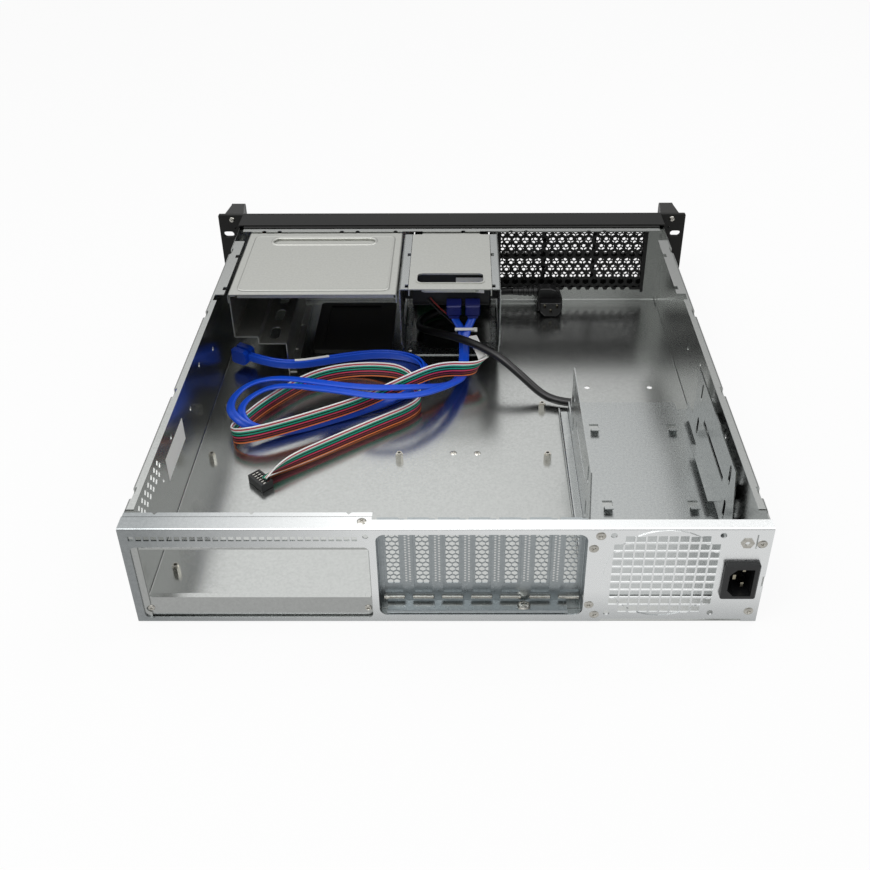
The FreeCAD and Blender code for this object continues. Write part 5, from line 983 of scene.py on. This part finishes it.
def slot_blank(number):
    low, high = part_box("slot_cover_%d" % number)
    x = (low.x + high.x) / 2 / MM
    y1, top, half = (high.y - REAR * MM) / MM, high.z / MM, (high.x - low.x) / 2 / MM
    rise = VENT_STEP / 3
    vent_low, vent_top = VENT_FIRST - rise, VENT_FIRST + (VENT_ROWS - 1) * VENT_STEP + rise
    shape = bmesh.new()
    plate_boxes(shape, (x - half, x + half), (17.0, top - 0.9), (y1 - 0.9, y1),
                [(x - VENT_PITCH, x + VENT_PITCH, vent_low, vent_top)])
    box(shape, (x - half, x + half - 4.0), (2.5, y1), (top - 0.9, top))
    plate(shape, [(x - half, 17.0), (x - half + 3.2, 11.0), (x - half + 3.2, low.z / MM),
                  (x + half - 3.2, low.z / MM), (x + half - 3.2, 11.0), (x + half, 17.0)], (y1 - 0.9, y1))
    for row in range(1, VENT_ROWS, 2):
        z = VENT_FIRST + row * VENT_STEP
        for side in (-1, 1):
            inner, outer = x + side * VENT_PITCH / 2, x + side * VENT_PITCH
            bar_x, lift, slope = inner + side * HALF_WEB, HALF_WEB * math.tan(math.radians(30)), HALF_WEB / math.cos(math.radians(30))
            plate(shape, [(inner, z - rise), (bar_x, z - rise + lift), (bar_x, z + rise - lift), (inner, z + rise)], (y1 - 0.9, y1))
            for up in (-1, 1):
                plate(shape, [(inner, z + up * rise), (outer, z + up * 2 * rise), (outer, z + up * (2 * rise - slope)),
                              (bar_x, z + up * (rise - lift))], (y1 - 0.9, y1))
    plain = finish_mesh("blade", shape, SLOT_STEEL, merge=False)
    centre = Vector((x * MM, ahead(y1 - 0.45), (VENT_FIRST + (VENT_ROWS - 1) / 2 * VENT_STEP) * MM))
    field = punched_field("vents", VENT_PITCH, 2 * HALF_WEB, 0.8, 2, VENT_ROWS, centre, SLOT_STEEL, 0.6 * VENT_PITCH)
    made = join("slot_blank_%d" % number, [plain, field])
    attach(made, "case")
    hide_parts("slot_cover_%d" % number)


def lanced_bridges():
    """Rounded skins over the seven straps that hold the blanks' tongues."""
    shape = bmesh.new()
    for i in range(SLOTS):
        middle = SLOT_FIRST_X + i * SLOT_PITCH
        rings = []
        for x, scale in ((-7.6, 0.5), (-7.1, 1.0), (7.1, 1.0), (7.6, 0.5)):
            rings.append([shape.verts.new(at(middle + x, 11.6 - 1.3 * scale * math.sin(a) ** 0.6, 12.5 + 1.25 * scale * math.cos(a)))
                          for a in (0.001, 0.5, 1.0, 1.57, 2.1, 2.6, 3.14)])
        for first, second in zip(rings, rings[1:]):
            for k in range(6):
                shape.faces.new((first[k], first[k + 1], second[k + 1], second[k]))
            shape.faces.new((first[6], first[0], second[0], second[6]))
        shape.faces.new(rings[0][::-1])
        shape.faces.new(rings[-1])
    # The skins take the lighter screw steel, not the duller steel of the slot wall they are pressed from: a painted
    # highlight on the straps.
    made = finish_mesh("lanced_bridges", shape, SCREW_STEEL, merge=False)
    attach(made, "case")


for number in range(1, SLOTS + 1):
    slot_blank(number)
lanced_bridges()

# %% [markdown]
# A stiffening panel and a long grip are pressed into the bay cover. On the real sheet each has a soft rounded
# edge that catches a bright line of light. The solid's edges are square, so a half-round rim is carried round
# each outline: five points of a section at every step of a rounded rectangle.

# %% Pressed rims of the bay cover
cover_low, cover_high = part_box("optical_cover")


def rim(shape, middle, size, corner, z, half, tall):
    """Adds to shape a half-round rim along a rounded rectangle, in millimetres."""
    path = []
    for quarter, (sx, sy) in enumerate(((1, 1), (-1, 1), (-1, -1), (1, -1))):
        centre = Vector((middle[0] + sx * (size[0] / 2 - corner), middle[1] + sy * (size[1] / 2 - corner), 0))
        for step in range(9):
            a = math.radians(90 * quarter + 90 * step / 8)
            out = Vector((math.cos(a), math.sin(a), 0))
            path.append((centre + out * corner, out))
    section = [(-half, 0.0), (-half * 0.55, tall * 0.8), (0.0, tall), (half * 0.55, tall * 0.8), (half, 0.0)]
    rings = [[shape.verts.new((place + out * u + Vector((0, 0, z + v))) * MM) for u, v in section] for place, out in path]
    for one, two in zip(rings, rings[1:] + rings[:1]):
        for k in range(5):
            n = (k + 1) % 5
            shape.faces.new((one[k], two[k], two[n], one[n]))


def pressed_rims():
    shape = bmesh.new()
    x0, x1, y0, y1 = (v / MM for v in (cover_low.x, cover_high.x, cover_low.y, cover_high.y))
    middle, top = ((x0 + x1) / 2, (y0 + y1) / 2), cover_high.z / MM
    rim(shape, middle, (x1 - x0 - 17.0, y1 - y0 - 16.0), 5.0, top - 0.35, 1.5, 0.5)
    rim(shape, (middle[0], y1 - 19.0), (102.4, 15.0), 7.0, top - 0.1, 1.6, 0.7)
    made = closed_mesh("pressed_rims", shape, COVER_STEEL, smooth=True)
    made.data.set_sharp_from_angle(angle=math.radians(60))
    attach(made, "case")
    print("rims", len(made.data.polygons), "faces")


pressed_rims()

# %% [markdown]
# Screws are one head repeated. The head is turned from a short profile and its cross recess is cut once, by
# two thin tapered blades. A second node tree stands a copy on every point of a base mesh. Each point carries
# the way that its screw faces, its turn and its size as named attributes.

# %% Geometry Nodes: screws


def screw_head():
    """Domed head of radius and height 1 mm with a cross recess, facing +Z, its seat at the origin."""
    shape = bmesh.new()
    profile = ((0.001, 1.0), (0.45, 0.96), (0.8, 0.7), (1.0, 0.15), (1.0, -0.5), (0.001, -0.5))
    sides = 20
    rings = [[shape.verts.new((r * math.cos(2 * math.pi * k / sides) * MM, r * math.sin(2 * math.pi * k / sides) * MM,
                               z * MM)) for k in range(sides)] for r, z in profile]
    for first, second in zip(rings, rings[1:]):
        for k in range(sides):
            n = (k + 1) % sides
            shape.faces.new((first[k], second[k], second[n], first[n]))
    bmesh.ops.remove_doubles(shape, verts=shape.verts, dist=0.002 * MM)
    bmesh.ops.recalc_face_normals(shape, faces=shape.faces)
    head = bpy.data.objects.new("screw_head", bpy.data.meshes.new("screw_head"))
    shape.to_mesh(head.data)
    shape.free()
    bpy.context.scene.collection.objects.link(head)
    cutter = bmesh.new()
    for long, short in ((0.52, 0.12), (0.12, 0.52)):
        top = [cutter.verts.new((sx * long * MM, sy * short * MM, 1.4 * MM))
               for sx, sy in ((1, 1), (-1, 1), (-1, -1), (1, -1))]
        low = [cutter.verts.new((v.co.x * 0.6, v.co.y * 0.6, 0.1 * MM)) for v in top]
        cutter.faces.new(top)
        cutter.faces.new(low[::-1])
        for k in range(4):
            n = (k + 1) % 4
            cutter.faces.new((top[n], top[k], low[k], low[n]))
    bmesh.ops.recalc_face_normals(cutter, faces=cutter.faces)
    blade = bpy.data.objects.new("cross", bpy.data.meshes.new("cross"))
    cutter.to_mesh(blade.data)
    cutter.free()
    bpy.context.scene.collection.objects.link(blade)
    recess = head.modifiers.new("recess", "BOOLEAN")
    recess.object = blade
    recess.use_self = True
    bpy.context.view_layer.update()
    mesh = bpy.data.meshes.new_from_object(head.evaluated_get(bpy.context.evaluated_depsgraph_get()))
    head.modifiers.remove(recess)
    head.data = mesh
    bpy.data.objects.remove(blade)
    return head


def fastener_tree():
    """Node tree that stands a fastener on each point, by its attributes facing, turn and size."""
    tree = bpy.data.node_groups.new("fasteners", "GeometryNodeTree")
    ids = {name: input_socket(tree, name, kind) for name, kind in
           (("Points", "NodeSocketGeometry"), ("Fastener", "NodeSocketObject"), ("Finish", "NodeSocketMaterial"))}
    tree.interface.new_socket("Geometry", in_out="OUTPUT", socket_type="NodeSocketGeometry")
    given = add(tree, "NodeGroupInput").outputs
    facing = add(tree, "GeometryNodeInputNamedAttribute", [("data_type", "FLOAT_VECTOR"), ("Name", "facing")])
    turn = add(tree, "GeometryNodeInputNamedAttribute", [("data_type", "FLOAT"), ("Name", "turn")])
    size = add(tree, "GeometryNodeInputNamedAttribute", [("data_type", "FLOAT_VECTOR"), ("Name", "size")])
    aimed = add(tree, "FunctionNodeAlignRotationToVector", [("axis", "Z")], [("Vector", facing.outputs["Attribute"])])
    spin = add(tree, "ShaderNodeCombineXYZ", (), [("Z", turn.outputs["Attribute"])])
    spun = add(tree, "FunctionNodeEulerToRotation", (), [("Euler", spin.outputs[0])])
    turned = add(tree, "FunctionNodeRotateRotation", [("rotation_space", "LOCAL")],
                 [("Rotation", aimed.outputs["Rotation"]), ("Rotate By", spun.outputs["Rotation"])])
    shape = add(tree, "GeometryNodeObjectInfo", (), [("Object", given["Fastener"])])
    copies = add(tree, "GeometryNodeInstanceOnPoints", (),
                 [("Points", given["Points"]), ("Instance", shape.outputs["Geometry"]),
                  ("Rotation", turned.outputs["Rotation"]), ("Scale", size.outputs["Attribute"])])
    solid = add(tree, "GeometryNodeRealizeInstances", (), [("Geometry", copies.outputs["Instances"])])
    painted = add(tree, "GeometryNodeSetMaterial", (), [("Geometry", solid.outputs["Geometry"]),
                                                        ("Material", given["Finish"])])
    add(tree, "NodeGroupOutput", (), [("Geometry", painted.outputs["Geometry"])])
    return tree, ids


FASTENER_TREE, FASTENER_IDS = fastener_tree()
HEAD = screw_head()


def screws(name, places, finish=SCREW_STEEL):
    """Screws at places of (x, distance, z, facing, radius, height); their turns differ as a hand leaves them."""
    base = bpy.data.meshes.new("screw_places")
    base.from_pydata([at(*place[:3]) for place in places], [], [])
    for name_of, kind, value in (("facing", "FLOAT_VECTOR", lambda i, p: p[3]), ("turn", "FLOAT", lambda i, p: 0.7 * i),
                                 ("size", "FLOAT_VECTOR", lambda i, p: (p[4], p[4], p[5]))):
        values = base.attributes.new(name_of, kind, "POINT").data
        for i, place in enumerate(places):
            setattr(values[i], "vector" if kind == "FLOAT_VECTOR" else "value", value(i, place))
    made = apply_tree(name, base, FASTENER_TREE, {FASTENER_IDS["Fastener"]: HEAD, FASTENER_IDS["Finish"]: finish})
    facing_out(made.data)
    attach(made, "case")
    print(name, len(places), "screws")
    return made


TO_REAR, UP = (0, -1, 0), (0, 0, 1)
LID_EDGE = 86.4
rear = screws("rear_panel_screws", [
    (102.1, -0.05, LID_EDGE - 6.2, TO_REAR, 3.4, 0.62), (98.1, -0.05, LID_EDGE - 17.3, TO_REAR, 3.4, 0.62),
    (98.0, -0.05, 16.9, TO_REAR, 3.4, 0.62), (102.3, -0.05, 7.4, TO_REAR, 3.4, 0.62),
    (208.6, -0.05, LID_EDGE - 13.4, TO_REAR, 3.4, 0.62), (208.7, -0.05, 10.6, TO_REAR, 3.4, 0.62),
    (-204.6, 2.0, 12.0, TO_REAR, 2.6, 0.9), (-54.0, 2.0, 12.0, TO_REAR, 2.6, 0.9),
    (-55.0, 7.7, LID_EDGE + 0.05, UP, 3.2, 0.75)])
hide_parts("rear_screws")
ledge = screws("slot_ledge_screw", [(54.0, 6.3, 9.3, UP, 4.6, 2.0)])
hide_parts("ledge_screw")
cage = screws("cage_foot_screws", [(side * 40.0, 350.0, 2.15, UP, 2.8, 1.0) for side in (-1, 1)])
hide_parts("cage_screws")
ears = screws("handle_fixing_screws", [(side * 227.5, 473.95, z, TO_REAR, 2.9, 1.6)
                                       for side in (-1, 1) for z in (5.1, 83.0)])
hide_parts("handle_screws")
floor = screws("tray_floor_screws", [(3.4, 188.7, 0.9, UP, 2.9, 0.7), (23.7, 188.2, 0.9, UP, 2.9, 0.7)])
bpy.data.objects.remove(HEAD)

# %% [markdown]
# Nodes whose solid already has the right shape only need their finish. A dictionary keeps the whole list in
# one place, so a node that was forgotten is printed at once.

# %% Finishes of the carried-over nodes
FINISHES = {
    "chassis_tub": TUB_STEEL, "rear_panel": PANEL_STEEL_PAINTED_LIGHT, "io_window_frame": TUB_STEEL, "slot_frame": SLOT_WALL_STEEL,
    "slot_cover_screws": SCREW_STEEL, "inlet_housing": INLET_PLASTIC, "inlet_pins": BRASS, "earth_stud": SCREW_STEEL,
    "psu_cradle": CRADLE_STEEL, "front_wall": TUB_STEEL, "bezel_frame": BLACK_PAINT, "front_plate": BLACK_PAINT, "handle_left": HANDLE_PAINT,
    "handle_right": HANDLE_PAINT, "power_button": BUTTON_PLASTIC,
    "reset_button": BUTTON_PLASTIC, "control_board": BOARD_GREEN, "lamp_lenses": LENS, "optical_cover": COVER_STEEL,
    "optical_bracket": COVER_STEEL, "bay_tray": BLACK_PAINT, "bay_blank": BLACK_PAINT, "drive_cage": CRADLE_STEEL,
    "cage_top_plate": COVER_STEEL, "dock_housing": INLET_PLASTIC, "dock_label": LABEL_PAPER,
    "board_standoffs": SCREW_STEEL, "side_label": LABEL_PAPER, "sata_plug_dock_a": NAVY_SHADED_PLASTIC,
    "sata_plug_dock_b": NAVY_SHADED_PLASTIC, "sata_plug_free_a": BLUE_PLASTIC, "sata_plug_free_b": BLUE_PLASTIC,
    "zip_tie": NATURAL_NYLON, "ribbon_sleeve": WHITE_SLEEVE}
for name, finish in FINISHES.items():
    slots = NODES[name].material_slots
    if not slots:
        NODES[name].data.materials.append(finish)
    for slot in NODES[name].material_slots:
        slot.link = "OBJECT"
        slot.material = finish
print("nodes without a finish of their own:", sorted(set(NODES) - set(FINISHES)))

# %% [markdown]
# The set is plain: a pale floor, an even sky and two soft lamps. The sky lights the metal at a level where a
# colour shows about as it is written. What the camera and mirrors see of it is white, so bright steel has
# something clean to reflect.

# %% Floor, sky and lamps


def seen_directly(tree):
    """1 for camera, glossy and transmission rays, else 0."""
    path = add(tree, "ShaderNodeLightPath")
    either = math_node(tree, "MAXIMUM", path.outputs["Is Camera Ray"], path.outputs["Is Glossy Ray"])
    return math_node(tree, "MAXIMUM", either, path.outputs["Is Transmission Ray"])


def studio_floor():
    made, tree, shader = material("studio_floor_paper", "#F2F2F2", 0.0, 0.8)
    path = add(tree, "ShaderNodeLightPath")
    level = math_node(tree, "MULTIPLY_ADD", path.outputs["Is Glossy Ray"], -0.34, 1.0)
    glow = add(tree, "ShaderNodeEmission", [("Color", (1, 1, 1, 1))], [("Strength", level)])
    share = math_node(tree, "MULTIPLY", seen_directly(tree), 0.9)
    both = add(tree, "ShaderNodeMixShader", (), [(0, share), (1, shader.outputs[0]), (2, glow.outputs[0])])
    tree.links.new(both.outputs[0], tree.nodes["Material Output"].inputs["Surface"])
    mesh = bpy.data.meshes.new("studio_floor")
    mesh.from_pydata([(x, y, -0.0005) for x, y in ((-6, -6), (6, -6), (6, 6), (-6, 6))], [], [(0, 1, 2, 3)])
    mesh.materials.append(made)
    floor = bpy.data.objects.new("studio_floor", mesh)
    bpy.context.scene.collection.objects.link(floor)


def sky():
    """White where it is seen, dimmer low down and to the right where steel mirrors it, and even for the rest."""
    world = bpy.data.worlds.new("studio_sky")
    bpy.context.scene.world = world
    world.use_nodes = True
    tree = world.node_tree
    back = tree.nodes["Background"]
    back.inputs["Color"].default_value = (1, 1, 1, 1)
    way = add(tree, "ShaderNodeSeparateXYZ", (), [("Vector", add(tree, "ShaderNodeTexCoord").outputs["Generated"])])
    height = between(tree, way.outputs["Z"], 0.35, 1.25, 0.35, 0.6)
    side = between(tree, way.outputs["X"], 1.0, 0.62, 0.02, 0.3)
    mirrored = math_node(tree, "MULTIPLY", height, side)
    path = add(tree, "ShaderNodeLightPath")
    seen = math_node(tree, "MAXIMUM", path.outputs["Is Camera Ray"], path.outputs["Is Transmission Ray"])
    level = math_node(tree, "MULTIPLY_ADD", path.outputs["Is Glossy Ray"], math_node(tree, "SUBTRACT", mirrored, 0.6), 0.6)
    level = math_node(tree, "MAXIMUM", level, seen)
    tree.links.new(level, back.inputs["Strength"])


def lamp(name, place, aim, size, watts):
    light = bpy.data.lights.new(name, "AREA")
    light.size = size
    light.energy = watts
    holder = bpy.data.objects.new(name, light)
    holder.location = place
    holder.rotation_euler = (Vector(aim) - Vector(place)).to_track_quat("-Z", "Y").to_euler()
    bpy.context.scene.collection.objects.link(holder)


studio_floor()
sky()
lamp("key", (-0.5, -0.6, 1.5), (0, 0, 0), 0.9, 9.0)
lamp("fill", (0.9, 0.4, 1.3), (0, 0.1, 0), 0.8, 4.0)
